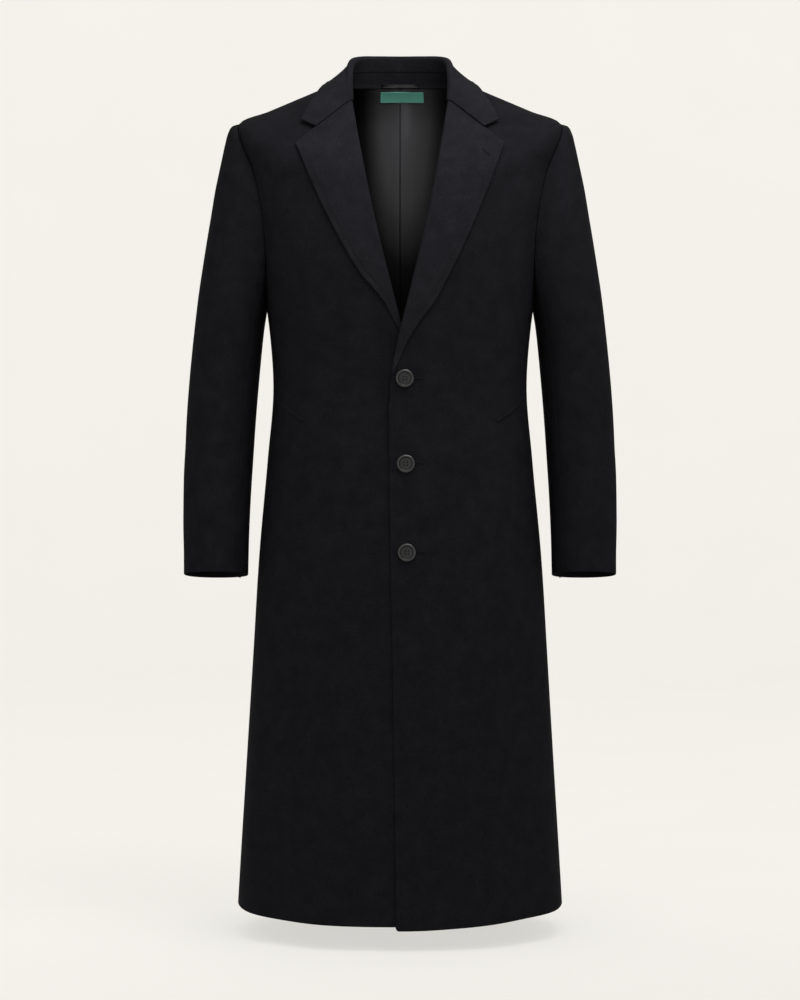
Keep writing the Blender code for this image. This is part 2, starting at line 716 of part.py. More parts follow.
def make_collar():
    knots = lengths(np.array([row[1:] for row in COLLAR_FOLD], float))
    fold_values = np.array([row[1:] for row in COLLAR_FOLD], float)
    gorge_inner, fold_values[0], gorge_way, _ = lapel_row(LEFT, 1.0)
    shares = np.linspace(0, 1, COLLAR_HALF_ROWS + 1)
    fold_places = COLLAR_START + (1 - COLLAR_START) * shares
    fold = np.array([spline(knots, fold_values, place * knots[-1]) for place in fold_places])
    seam = neck_line()
    seam = along(seam, shares * lengths(seam)[-1])
    edge = collar_edge()
    edge = along(edge, shares * lengths(edge)[-1])
    tangents = np.gradient(fold, axis=0)
    tangents[-1] = (-1, 0, 0)
    notch_place = np.linalg.norm(np.subtract(NOTCH, GORGE))
    notch_place /= notch_place + np.linalg.norm(np.subtract(COLLAR_TIP, NOTCH))
    places = np.concatenate((np.linspace(0, notch_place, 6)[1:], np.linspace(notch_place, 1, 3)[1:]))
    end_line = collar_end(places)
    behind = gorge_inner - seam[0] - (fold[0] - seam[0]) * STAND_SHARE
    gorge_normal = front_point(LEFT, *find_front(*GORGE))[1]
    gorge_in = gorge_normal * np.dot(behind, gorge_normal)
    gorge_down = behind - gorge_in
    stand_rows, fall_rows = [], []
    for k, share in enumerate(shares):
        middle = seam[k] + (fold[k] - seam[k]) * STAND_SHARE
        straight = fold[k] + np.outer(places, edge[k] - fold[k])
        end_straight = fold[0] + np.outer(places, edge[0] - fold[0])
        fade = (1 - smooth(share / END_FADE_SPAN)) ** END_FADE_POWER
        outer_line = straight + (end_line - end_straight) * fade
        rise, full, ease, end = BULGE_SPAN
        swell = smooth((share - rise) / (full - rise)) * smooth((end - share) / (end - ease))
        across = unit(np.cross(edge[k] - fold[k], tangents[k]))
        outer_line += np.outer(np.sin(np.pi * places) ** BULGE_POWER, across * swell * COLLAR_BULGE)
        way = unit(unit(middle - fold[k]) + unit(edge[k] - fold[k]))
        way = unit(way + (gorge_way - way) * fade)
        radius = COLLAR_RADIUS + (FOLD_RADIUS - COLLAR_RADIUS) * fade
        inner = middle + gorge_down * (1 - smooth(share / GORGE_DOWN_SPAN))
        inner += gorge_in * (1 - smooth(share / GORGE_IN_SPAN))
        inner += unit(tangents[k]) * COLLAR_INNER_SHIFT * fade
        fall_rows.append(turned_over(inner, fold[k], way, outer_line, tangents[k], radius))
        if share >= STAND_START:
            up_way = fold[k] - seam[k]
            low = seam[k] + up_way * STAND_EDGE_GAP
            top = seam[k] + up_way * (STAND_SHARE - STAND_EDGE_GAP)
            stand_rows.append([low + (top - low) * at for at in np.linspace(0, 1, 4)])
    fall_rows = np.array(fall_rows)
    stand_rows = np.array(stand_rows)
    fall_rows = np.concatenate((fall_rows, mirrored(fall_rows[-2::-1])))
    stand_rows = np.concatenate((stand_rows, mirrored(stand_rows[-2::-1])))
    cloth("collar_fall", fall_rows, CLOTH, WOOL, flip=True)
    cloth("collar_stand", stand_rows, CLOTH, WOOL, flip=True)


# Small pieces

def make_welts():
    start = np.array(find_front(*WELT_FRONT))
    slope = unit(np.array((1.0, WELT_RISE)))
    across = np.array((-slope[1], slope[0])) * WELT_WIDTH
    for side in (LEFT, RIGHT):
        name = SIDE_NAMES[side]
        rows = []
        for at in (-0.5, 0, 0.5):
            steps = np.linspace(0, WELT_LENGTH, WELT_STEPS + 1)
            spots = [front_point(side, *(start + slope * step + across * at)) for step in steps]
            rows.append([settle(f"front_{name}", *spot, WELT_GAP + WELT_WALL) for spot in spots])
        rows = np.array(rows) if side == LEFT else mirrored(rows)
        cloth(f"pocket_welt_{name}", rows, WELT_WALL, WOOL, flip=side == RIGHT)


def turned(name, profile, segments, shade):
    """A body turned about Z from a profile of radius and height, run from top to bottom."""
    mesh = bpy.data.meshes.new(name)
    points = [(radius * MM, 0, height * MM) for radius, height in profile]
    mesh.from_pydata(points, [(k, k + 1) for k in range(len(points) - 1)], [])
    made = add_object(name, mesh, shade)
    screw = made.modifiers.new("turn", "SCREW")
    screw.axis = "Z"
    screw.steps = segments
    screw.render_steps = segments
    screw.use_merge_vertices = True
    screw.merge_threshold = 0.00001
    return made


def make_buttons():
    rim = BUTTON_DIAMETER / 2
    profile = [(turn.radius * rim, turn.height) for turn in BUTTON_PROFILE]
    for number, (x, z) in enumerate(BUTTONS, 1):
        reach, height = find_front(x, z)
        spot, normal = front_point(LEFT, reach, height)
        seat = settle("front_left", spot, normal, BUTTON_GAP)
        button = turned(f"button_{number}", profile, BUTTON_SEGMENTS, HORN)
        drill = bpy.data.meshes.new(f"button_{number}_drill")
        holes = bmesh.new()
        for over in (-0.5, 0.5):
            for up in (-0.5, 0.5):
                made = bmesh.ops.create_cone(
                    holes, cap_ends=True, segments=BUTTON_HOLE_SEGMENTS,
                    radius1=BUTTON_HOLE / 2 * MM, radius2=BUTTON_HOLE / 2 * MM,
                    depth=BUTTON_HOLE_DEPTH * MM,
                )
                place = np.array((over * BUTTON_HOLE_SPACING, up * BUTTON_HOLE_SPACING, BUTTON_HOLE_MIDDLE))
                bmesh.ops.translate(holes, verts=made["verts"], vec=place * MM)
        holes.to_mesh(drill)
        holes.free()
        cutter = bpy.data.objects.new(f"button_{number}_drill", drill)
        CUTTERS.objects.link(cutter)
        cutter.hide_render = True
        cutter.display_type = "WIRE"
        cut = button.modifiers.new("holes", "BOOLEAN")
        cut.object = cutter
        cut.operation = "DIFFERENCE"
        cut.solver = "EXACT"
        lean = math.asin(normal[2])
        turn = math.atan2(normal[0], -normal[1])
        for thing in (button, cutter):
            thing.location = seat * MM
            thing.rotation_euler = (math.pi / 2 - lean, 0, turn)


def on_lining(x, z, lift):
    """A point inside the back at x, z, lifted off the lining towards the wearer."""
    level = float(np.interp(z, LEVELS[-4:, 5], HEIGHTS[-4:]))
    inward = -outward(True, abs(x), level)
    inward[0] = math.copysign(inward[0], -x)
    return settle("lining", on_body(True, x, level), inward, lift)


def make_label():
    width, height = LABEL_SIZE
    columns = LABEL_CENTRE[0] + width * np.linspace(-0.5, 0.5, LABEL_COLUMNS + 1)
    levels = LABEL_CENTRE[1] + height * np.linspace(-0.5, 0.5, LABEL_ROWS + 1)
    rows = [[on_lining(x, z, LABEL_GAP + LABEL_WALL) for x in columns] for z in levels]
    cloth("neck_label", rows, LABEL_WALL, WOVEN)


def make_loop():
    rows = []
    for drop in np.linspace(1, 0, LOOP_ROWS + 1) * LOOP_WIDTH:
        row = []
        for share in np.linspace(-1, 1, LOOP_COLUMNS + 1):
            x = share * LOOP_LENGTH / 2
            bow = 1 - share**4
            y = on_lining(x, LOOP_SEAT_Z, 0)[1] - LOOP_GAP - TAPE_WALL - LOOP_BOW * bow
            row.append((x, y, LOOP_TOP_Z - drop - LOOP_SAG * bow))
        rows.append(row)
    cloth("hanger_loop", rows, TAPE_WALL, TAPE)


clear_scene()
FACES = {}
PARTS = bpy.data.collections.new("topcoat")
CUTTERS = bpy.data.collections.new("cutters")
bpy.context.scene.collection.children.link(PARTS)
bpy.context.scene.collection.children.link(CUTTERS)
WOOL = material("wool_cloth", (0.011, 0.011, 0.012), 0.9)
SATIN = material("lining", (0.04, 0.04, 0.044), 0.4)
HORN = material("button", (0.05, 0.05, 0.052), 0.35)
WOVEN = material("label", (0.03, 0.15, 0.1), 0.6)
TAPE = material("loop_tape", (0.12, 0.12, 0.12), 0.5)

make_panels()
make_sleeves()
make_lapels()
make_collar()
make_welts()
make_buttons()
make_label()
make_loop()
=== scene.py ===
"""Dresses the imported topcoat: finer cloth shells, sewing, buttons and finishes, in a plain pale studio.

All sizes are millimetres until the meshes are made. The coat faces -Y, +Z is up and +X is the
wearer's left. The cloth follows the same rings and edges as the solids that it stands for.
"""

from collections import namedtuple
from functools import lru_cache
import math

import bmesh
import bpy
import numpy as np
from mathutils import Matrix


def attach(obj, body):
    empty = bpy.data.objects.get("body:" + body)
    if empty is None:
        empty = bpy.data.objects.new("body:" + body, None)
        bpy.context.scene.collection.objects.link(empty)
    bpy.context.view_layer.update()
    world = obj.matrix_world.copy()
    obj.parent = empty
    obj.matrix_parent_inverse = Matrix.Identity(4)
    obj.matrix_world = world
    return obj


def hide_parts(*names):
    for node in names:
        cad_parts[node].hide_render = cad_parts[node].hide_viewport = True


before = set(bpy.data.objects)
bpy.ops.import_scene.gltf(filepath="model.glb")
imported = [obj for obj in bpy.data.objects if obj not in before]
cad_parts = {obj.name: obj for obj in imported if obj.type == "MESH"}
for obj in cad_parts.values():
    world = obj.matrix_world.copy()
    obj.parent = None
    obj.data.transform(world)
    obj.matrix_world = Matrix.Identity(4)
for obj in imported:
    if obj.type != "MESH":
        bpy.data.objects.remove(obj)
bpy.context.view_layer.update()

MM = 0.001
LEFT = 1
RIGHT = -1
SIDE_NAMES = {LEFT: "left", RIGHT: "right"}

# Walls and clearances
CLOTH = 2.5
LAPEL_WALL = 2.6
LAPEL_CLEAR = 0.1
LINING_WALL = 1.0
WELT_WALL = 1.6
LABEL_WALL = 1.0
TAPE_WALL = 1.6
LINING_GAP = 2.0
WELT_LIFT = 0.9
INSET_POWER = 2.2
SEAM_ROUND = 0.9
EDGE_ROUND = 0.8
RIM_STEPS = 5
RIM_MEET = 0.1
SLEEVE_MEET = 3.0
CREST_MEET = 1.4
ARMHOLE_MEET = 1.8
CREST_START = 0.44

# Rings of the body from hem to neck
Level = namedtuple("Level", "name side_x side_z front_y front_z back_y back_z square")
TORSO = (
    Level("hem", 234.2, -1192, -200, -1192, 190, -1192, 2.25),
    Level("calf", 228.3, -1090, -192, -1090, 183, -1090, 2.3),
    Level("knee", 222.6, -996, -185, -996, 176, -996, 2.3),
    Level("thigh", 211.7, -822, -172, -822, 162, -822, 2.35),
    Level("seat", 203, -677, -160, -677, 150, -677, 2.4),
    Level("hip", 191.4, -547, -149, -547, 137, -547, 2.45),
    Level("waist", 183.2, -440, -140, -440, 119, -440, 2.5),
    Level("ribs", 188.5, -362, -144, -362, 121, -360, 2.5),
    Level("armpit", 193.5, -322, -147, -326, 125, -316, 2.5),
    Level("chest", 201, -258, -149, -275, 130, -248, 2.5),
    Level("blade", 210, -190, -146, -222, 132, -178, 2.5),
    Level("upper", 222, -125, -139, -177, 128, -119, 2.4),
    Level("tip", 233, -60.3, -128, -142, 120, -74, 2.3),
    Level("shoulder", 190, -42, -112, -118, 111, -42, 2.2),
    Level("yoke", 140, -20.7, -93, -95, 98, -16, 2.1),
    Level("neck", 88, 1.5, -70, -74, 81, 7, 2.0),
)
TILT_POWER = 1.8
RING_SAMPLES = 481
NORMAL_STEP = 2.0

# Armhole
ARMHOLE_FRONT = 72
ARMHOLE_BACK = 80
ARMHOLE_ROUND = 2.3

# Fronts
FRONT_EDGE = {LEFT: (-15.7, -5.8), RIGHT: (-30.0, -24.0)}
LAP_REACH = (78, 12)
LAP_LIFT = {LEFT: 2.0, RIGHT: -1.9}
ROLL_LIFT = {LEFT: 5.2, RIGHT: -4.6}
ROLL_LIFT_SPAN = (-520, -405, -330, -190)
HEM_DROP = 5.5
HEM_DROP_REACH = 190
HEM_RISE = 6.5
HEM_RISE_POWER = 3
CORNER_ROUND = 5.0
CORNER_FADE = 40

# Lapels
GORGE = (68.4, -30.0)
NOTCH = (119.7, -77.0)
LAPEL_TIP = (147.6, -103.0)
COLLAR_TIP = (141.2, -66.5)
ROLL_CROSSING = {LEFT: -366, RIGHT: -350}
BREAK_X = {LEFT: -11.5, RIGHT: -4.0}
ROLL_BOW = 5.0
LAPEL_BELLY = 10.0
LAPEL_FOOT = (1.3, -7.0)
BELLY_POWER = 1.2
FOOT_HOLLOW = 5.5
FOOT_HOLLOW_SHARE = 0.36
FOLD_RADIUS = 5.4
FOOT_RADIUS = 1.7
FOOT_SPAN = 0.3
FOOT_RUN_OUT = 42.0
PANEL_SETBACK = 0.2
LAPEL_EDGE_LIFT = 5.4
FACING_TURN = (5, 14)
FACING_FULL_SHARE = 0.67
FOLD_CLEAR = 1.8
FOLD_CLEAR_MOST = 0.9

# Collar
Fold = namedtuple("Fold", "name x y z")
COLLAR_FOLD = (
    Fold("gorge", 68.4, -50, -29),
    Fold("throat", 70.5, -27, 2.5),
    Fold("side", 69.5, 2, 28.5),
    Fold("nape_side", 57.5, 46, 43.5),
    Fold("back", 32.5, 67, 47.5),
    Fold("nape", 0, 74.5, 48.5),
)
COLLAR_RADIUS = 3.0
COLLAR_MIDDLE = (128.0, -38.0)
COLLAR_SHOULDER_X = 109
COLLAR_BACK_Z = -20
COLLAR_BACK_SHARES = (0.25, 0.5, 0.75, 1)
COLLAR_LIFT = 2.9
STAND_SHARE = 0.5
STAND_START = 0.26
STAND_EDGE_GAP = 0.012
STAND_OVERLAP = 0.05
STAND_IN = 1.6
STAND_IN_SHARE = 0.3
COLLAR_START = -0.006
COLLAR_INNER_SHIFT = 2.0
GORGE_DOWN_SPAN = 0.14
GORGE_IN_SPAN = 0.36
COLLAR_TUCK = (1.0, 0.4)
GORGE_ROUND = 0.25
END_FADE_SPAN = 0.45
END_FADE_POWER = 1.5
Swell = namedtuple("Swell", "share out")
COLLAR_SWELL = (
    Swell(0.0, 0.0), Swell(0.1, 1.5), Swell(0.22, 1.0), Swell(0.42, -0.9), Swell(0.62, -0.8), Swell(0.8, 0.0),
    Swell(1.0, 0.0),
)
SWELL_POWER = 1.2

# Sleeves
Cap = namedtuple("Cap", "name turn outer_x outer_z spread")
SLEEVE_CAP = (
    Cap("head", 37, 243, -63.0, 90),
    Cap("head_turn", 44, 248.6, -73, 90),
    Cap("crown", 53, 252.6, -88, 92),
    Cap("upper", 65, 258.2, -114, 95),
    Cap("middle", 79, 266.4, -153, 99),
    Cap("lower", 94, 275.0, -200, 106),
    Cap("pitch", 110, 282.2, -245, 115),
)
CAP_TOP_TURN = 30
CAP_SQUARE = 2.25
Ring = namedtuple("Ring", "name z outer_x inner_x front_y back_y tilt")
SLEEVE_ARM = (
    Ring("bicep", -373, 299.4, 198.9, -72, 80, 0.0),
    Ring("elbow", -460, 307.2, 206.8, -70, 71, 0.02),
    Ring("forearm", -550, 310.6, 212.6, -74, 55, 0.06),
    Ring("wrist", -634, 311.0, 216.8, -82, 38, 0.09),
    Ring("cuff", -712, 310.3, 218.2, -90, 22, 0.11),
)
ARM_SQUARE = 2.2
SEAM_ANGLE = 132

# Pockets, buttons, label and loop
WELT_FRONT = (136.0, -494.0)
WELT_RISE = 0.52
WELT_LENGTH = 96
WELT_WIDTH = 6.0
CROWN_POWER = 4
BUTTONS = ((6.6, -435), (8.0, -554.5), (9.4, -678))
BUTTON_DIAMETER = 25.4
BUTTON_HOLE = 2.2
BUTTON_HOLE_SPACING = 4.2
BUTTON_HOLE_DEPTH = 4.0
BUTTON_HOLE_MIDDLE = 3.4
BUTTON_GAP = 0.4
THREAD_RADIUS = 0.95
THREAD_LEVELS = (1.5, 2.1, 2.5, 2.65)
CORD_SIDES = 8
Turn = namedtuple("Turn", "name radius height")
BUTTON_PROFILE = (
    Turn("dish_middle", 0.0, 2.75),
    Turn("dish_half", 0.35, 2.8),
    Turn("dish_edge", 0.62, 2.95),
    Turn("step_foot", 0.685, 3.0),
    Turn("step_top", 0.72, 3.8),
    Turn("rim_inside", 0.77, 4.08),
    Turn("rim_crest", 0.85, 4.2),
    Turn("rim_outside", 0.94, 3.85),
    Turn("rim_shoulder", 0.985, 3.2),
    Turn("rim_widest", 1.0, 2.6),
    Turn("rim_under", 0.975, 1.9),
    Turn("back_edge", 0.9, 1.4),
    Turn("back", 0.6, 0.95),
    Turn("shank_top", 0.236, 0.8),
    Turn("shank_foot", 0.205, 0.05),
    Turn("shank_middle", 0.0, 0.05),
)
LINING_HEM = 40
LINING_TOP = 0.5
LINING_TUCK = 9
LINING_SEAM = 0.5
LINING_TRIM = 2.5
LABEL_SIZE = (66.5, 14.5)
LABEL_CENTRE = (3.2, -4.6)
LABEL_GAP = 0.4
LOOP_LENGTH = 55
LOOP_WIDTH = 6
LOOP_BOW = 8.0
LOOP_TOP_Z = 9.5
LOOP_SEAT_Z = 4.0
LOOP_SAG = 1.5
LOOP_GAP = 4.0

# Fineness of the shells
ROWS_BELOW = 120
ROWS_ARMHOLE = 46
ROWS_SHOULDER = 18
FRONT_COLUMNS = 112
BACK_COLUMNS = 72
LINING_COLUMNS = 50
EDGE_COLUMN = 1.3
EDGE_COLUMNS = 12
LAPEL_ROWS = 110
LAPEL_CROWDING = 0.75
LAPEL_COLUMNS = 34
COLLAR_HALF_ROWS = 72
GORGE_COLUMNS = 20
NOTCH_COLUMNS = 12
FOLD_STEPS = 14
INNER_STEPS = 5
SLEEVE_COLUMNS = 72
UNDER_COLUMNS = 40
SLEEVE_ROWS_CAP = 46
SLEEVE_ROWS_ARM = 84
ARM_CONTROL_ROWS = 7
PIN_COLUMNS = 9
CREST_SAMPLES = 25
SCOOP_SAMPLES = 40
LINE_SAMPLES = 241
NECK_SAMPLES = 240
STAND_STEPS = 12
GORGE_SKIP = 3
WELT_STEPS = 64
WELT_ROWS = 8
LABEL_STEPS = (52, 16)
LOOP_STEPS = (48, 8)
BUTTON_SEGMENTS = 72
HOLE_SEGMENTS = 20
SHARP_ANGLE = 40
MERGE_DISTANCE = 0.01

# Search for places on the body
FIND_TRIES = 12
FIND_MISS = 0.01
FIND_STEP = 40
HALVINGS = 40

# Creases, in each panel's own sizes: how far across and up they start and end, how wide they
# are and how deep; ridges are positive
Crease = namedtuple("Crease", "across up end_across end_up width depth")
FRONT_CREASES = {
    LEFT: (
        Crease(118, -260, 128, 560, 40, 2.6),
        Crease(190, -220, 182, 470, 34, -2.8),
        Crease(258, -300, 244, 640, 38, 3.2),
        Crease(62, -200, 74, 330, 26, -1.5),
        Crease(96, 735, 190, 690, 16, -0.9),
        Crease(168, 905, 150, 790, 17, -1.3),
        Crease(196, 862, 176, 742, 13, 1.0),
        Crease(205, 700, 222, 590, 18, -1.0),
    ),
    RIGHT: (
        Crease(104, -240, 120, 500, 38, 2.4),
        Crease(172, -260, 168, 590, 36, -3.0),
        Crease(246, -200, 236, 520, 36, 3.0),
        Crease(84, 752, 176, 716, 15, -0.8),
        Crease(172, 912, 158, 772, 19, -1.4),
        Crease(202, 850, 180, 756, 12, 0.9),
        Crease(212, 688, 226, 604, 16, -0.9),
    ),
}
BACK_CREASES = (
    Crease(70, -260, 64, 520, 38, 2.6),
    Crease(132, -240, 122, 640, 34, 1.9),
    Crease(216, -280, 206, 560, 40, 3.4),
    Crease(150, 985, 118, 860, 24, 1.6),
    Crease(40, 742, 150, 716, 18, 1.1),
    Crease(60, 690, 168, 672, 15, 0.8),
)
SLEEVE_CREASES = (
    Crease(-66, -372, -128, -446, 11, -1.7),
    Crease(-58, -424, -126, -474, 10, -1.5),
    Crease(-44, -470, -120, -512, 12, -1.2),
    Crease(52, -330, 118, -392, 15, -1.3),
    Crease(28, -140, 46, -300, 22, 1.4),
    Crease(-22, -150, -40, -318, 20, -1.3),
    Crease(-10, -520, -22, -690, 24, 1.2),
    Crease(60, -520, 48, -660, 20, -1.0),
)
LINING_CREASES = (
    Crease(14, 640, 18, 1330, 5, 1.2),
    Crease(30, 600, 40, 1310, 9, -0.9),
    Crease(60, 700, 64, 1290, 12, 0.8),
)
CREASE_ENDS = 3
FLAT_NEAR_EDGE = (12, 70)
SLEEVE_CALM = 25

# Darts of the fronts: seen from the front, where they start and end
DART = {LEFT: ((139, -342), (140.5, -440)), RIGHT: ((137, -334), (138, -432))}
DART_WIDTH = 2.2
DART_DEPTH = -1.1

# Sewing
STITCH_INSET = 7.0
STITCH_PITCH = 7.0
STITCH_LENGTH = 2.4
STITCH_RADIUS = 0.42
STITCH_SINK = 0.3
STITCH_SIDES = 6
Bend = namedtuple("Bend", "share rise")
STITCH_ARCH = (Bend(-0.5, -0.35), Bend(-0.3, 0.05), Bend(0, 0.18), Bend(0.3, 0.05), Bend(0.5, -0.35))
GROOVE_DEPTH = -0.75
GROOVE_WIDTH = 1.5
GROOVE_START = 26
BUTTONHOLE_START = -2.0
BUTTONHOLE_LENGTH = 25.0
BUTTONHOLE_STEPS = 11
BUTTONHOLE_HALF = 0.95
CORD_RADIUS = 0.62
CORD_TAPER = 0.45
LIP_RISE = 0.35
BAR_RISE = 0.3
BAR_REACH = 1.6
BAR_POINTS = 5
LAPEL_HOLE = ((116.2, -110.0), (125.6, -118.8))
LAPEL_HOLE_POINTS = 9
LAPEL_HOLE_NEAREST = 4
LAPEL_HOLE_SOFTNESS = 0.01
OUT_OF_REACH = 1e6

# Wool: its tint, and how its tone runs from the troughs of the nap to the tips
WOOL_TINT = (1.0, 0.98, 1.2)
WOOL_TONES = ((0.3, 0.58), (0.5, 1.0), (0.7, 1.65))

# Camera and cove in metres, from the photo's scale and framing
CAMERA_PLACE = (0.0, -3.8, -0.6047)
CAMERA_LENS = 94.35
CAMERA_SENSOR = 36.0
FLOOR_Z = -1.2255
COVE_COLOUR = (0.22, 0.216, 0.206)
FLOOR_GLOW = 0.635
WALL_GLOW = 0.683
COVE_BEND = 2.5

# The cove's other sizes, in millimetres
COVE_MIDDLE = 1500
COVE_FLOOR = 5000
COVE_HEIGHT = 8000
COVE_BEND_STEPS = 16
COVE_SIDES = 96

# Lights: places and sizes in metres, power in watts, spread in degrees
SKY_COLOUR = (1.0, 0.99, 0.96, 1)
SKY_STRENGTH = 1.5
Lamp = namedtuple("Lamp", "name place aim size power spread")
TOP_FRONT = Lamp("top_front", (0.3, -0.55, 0.55), (0, 0, -0.15), (1.0, 0.5), 3.6, 90)


def smooth(value):
    """Ease from 0 to 1."""
    value = np.clip(value, 0.0, 1.0)
    return value * value * (3 - 2 * value)


def spline(knots, values, at, slopes=None):
    """A smooth curve through values at their knots, without overshoot at the ends."""
    if slopes is None:
        slopes = np.gradient(values, knots, axis=0)
    i = int(np.clip(np.searchsorted(knots, at) - 1, 0, len(knots) - 2))
    span = knots[i + 1] - knots[i]
    t = (at - knots[i]) / span
    return (
        (2 * t**3 - 3 * t**2 + 1) * values[i]
        + (t**3 - 2 * t**2 + t) * span * slopes[i]
        + (3 * t**2 - 2 * t**3) * values[i + 1]
        + (t**3 - t**2) * span * slopes[i + 1]
    )


def unit(vectors):
    return vectors / np.linalg.norm(vectors, axis=-1, keepdims=True)


def lengths(points):
    """Running length along a line of points."""
    steps = np.linalg.norm(np.diff(points, axis=0), axis=1)
    return np.concatenate(([0.0], np.cumsum(steps)))


def along(points, where):
    """Points at given distances along a line of points."""
    run = lengths(points)
    return np.stack([np.interp(where, run, points[:, k]) for k in range(points.shape[1])], axis=-1)


def spaced(start, end, count, inset=0.0, edge_columns=0):
    """Places from start to end, finer near the start; an inset moves the end back and draws them in."""
    fine = start + EDGE_COLUMN * np.arange(edge_columns)
    low = start + EDGE_COLUMN * edge_columns
    share = np.linspace(0, 1, count + 1)
    return np.concatenate((fine, low + (end - low) * share)) - inset * np.concatenate(
        (np.zeros(edge_columns), share**INSET_POWER)
    )


# The body as a surface of rings

SIDE_LINE = np.array([(row.side_x, row.side_z) for row in TORSO], float)
HEIGHTS = lengths(SIDE_LINE)
LEVELS = np.array([row[1:] for row in TORSO], float)
LEVEL_SLOPES = np.gradient(LEVELS, HEIGHTS, axis=0)
SIDE_X, FRONT_Z, BACK_Z = (Level._fields.index(name) - 1 for name in ("side_x", "front_z", "back_z"))
SHOULDER_RINGS = slice(-4, None)
HEIGHT_OF = {row.name: height for row, height in zip(TORSO, HEIGHTS)}
RING_TURN = np.linspace(0, math.pi / 2, RING_SAMPLES)
RING_SIN = np.sin(RING_TURN)
RING_COS = np.clip(np.cos(RING_TURN), 0, 1)


@lru_cache(maxsize=None)
def ring(back, height):
    """A quarter of the body's ring at a height, from the centre line to the side."""
    values = spline(HEIGHTS, LEVELS, height, LEVEL_SLOPES)
    side_x, side_z, front_y, front_z, back_y, back_z, square = values
    end_y = back_y if back else front_y
    end_z = back_z if back else front_z
    across = RING_SIN ** (2 / square)
    deep = RING_COS ** (2 / square)
    points = np.stack(
        (side_x * across, end_y * deep, side_z + (end_z - side_z) * deep**TILT_POWER), axis=-1
    )
    return points, lengths(points)


def girth(back, height):
    """Distance round the body from the centre line to the side."""
    return ring(back, round(height, 4))[1][-1]


def on_body(back, reach, height):
    """Points at distances round from the centre line, negative when past it."""
    points, run = ring(back, round(height, 4))
    reach = np.asarray(reach, float)
    found = np.stack([np.interp(np.abs(reach), run, points[:, k]) for k in range(3)], axis=-1)
    found[..., 0] *= np.where(reach < 0, -1, 1)
    return found


def back_height(z):
    """Height of the ring that lies at z on the upper back's centre line."""
    return float(np.interp(z, LEVELS[SHOULDER_RINGS, BACK_Z], HEIGHTS[SHOULDER_RINGS]))


def outward(back, reach, height):
    """The body's outward direction at points of a ring."""
    reach = np.asarray(reach, float)
    ahead = on_body(back, np.minimum(reach + NORMAL_STEP, girth(back, height)), height)
    above = on_body(back, reach, min(height + NORMAL_STEP, HEIGHTS[-1]))
    below = on_body(back, reach, max(height - NORMAL_STEP, 0))
    normal = unit(np.cross(ahead - on_body(back, reach - NORMAL_STEP, height), above - below))
    return -normal if back else normal


def find_front(x, z, guess=None):
    """Distance round and height of the point on the front seen at x, z, sought from a guess."""
    reach, height = guess or (x, float(np.interp(z, LEVELS[:, FRONT_Z], HEIGHTS)))
    for _ in range(FIND_TRIES):
        here = on_body(False, reach, height)[[0, 2]]
        miss = np.array((x, z)) - here
        if np.abs(miss).max() < FIND_MISS:
            break
        by_reach = on_body(False, reach + 1, height)[[0, 2]] - here
        by_height = here - on_body(False, reach, height - 1)[[0, 2]]
        step = np.linalg.solve(np.stack((by_reach, by_height), axis=1), miss)
        step = np.clip(step, -FIND_STEP, FIND_STEP)
        reach += float(step[0])
        height = float(np.clip(height + step[1], 0, HEIGHTS[-1]))
    return reach, height


def lap(side, reach, z):
    """How far a front stands off the body near the centre, where one front lies over the other."""
    near = smooth((LAP_REACH[0] - reach) / (LAP_REACH[0] - LAP_REACH[1]))
    low, low_full, high_full, high = ROLL_LIFT_SPAN
    rolled = smooth((z - low) / (low_full - low)) * smooth((high - z) / (high - high_full))
    return near * (LAP_LIFT[side] + ROLL_LIFT[side] * rolled)


def hem_drop(side, x, height):
    """The hem rises to the side seams, and the left front hangs a little lower at its edge."""
    low = smooth(1 - height / HEIGHT_OF["knee"])
    rise = HEM_RISE * np.clip(x / TORSO[0].side_x, 0, 1) ** HEM_RISE_POWER
    if side == LEFT:
        rise = rise - HEM_DROP * smooth(1 - x / HEM_DROP_REACH)
    return -low * rise


def front_point(side, reach, height, lift=0.0):
    """Points on the outer face of a front, moved out by a lift, with the wearer's left as +X."""
    reach = np.asarray(reach, float)
    point = on_body(False, reach, height)
    normal = outward(False, reach, height)
    stand = np.asarray(lap(side, reach, point[..., 2]) + lift)
    point = point + normal * stand[..., None]
    point[..., 2] -= hem_drop(side, point[..., 0], height)
    return point, normal


# Edges of the panels

ARM_MIDDLE = (HEIGHT_OF["tip"] + HEIGHT_OF["armpit"]) / 2
ARM_HALF = (HEIGHT_OF["tip"] - HEIGHT_OF["armpit"]) / 2


def armhole_height(turn):
    """Height of the armhole's edge at an angle, 0 at the shoulder and 180 at the armpit."""
    return ARM_MIDDLE + ARM_HALF * math.cos(math.radians(turn))


def armhole_inset(back, height):
    """Distance from the side line to the armhole's edge at a height; zero above and below it."""
    share = (height - ARM_MIDDLE) / ARM_HALF
    if abs(share) >= 1:
        return 0.0
    width = ARMHOLE_BACK if back else ARMHOLE_FRONT
    return width * math.sqrt(1 - share * share) ** (2 / ARMHOLE_ROUND)


def armhole_point(turn):
    """A point on the left armhole's edge, on the front for angles up to 180 and then on the back."""
    back = turn > 180
    height = armhole_height(turn)
    return on_body(back, girth(back, height) - armhole_inset(back, height), height)


def armhole_arc(first_turn, last_turn, samples):
    """The armhole's edge from an angle on the front to an end, and back to the same angle behind."""
    turns = np.linspace(first_turn, last_turn, samples)
    turns = [*turns, *(360 - turn for turn in turns[-2::-1])]
    return np.array([armhole_point(turn) for turn in turns])


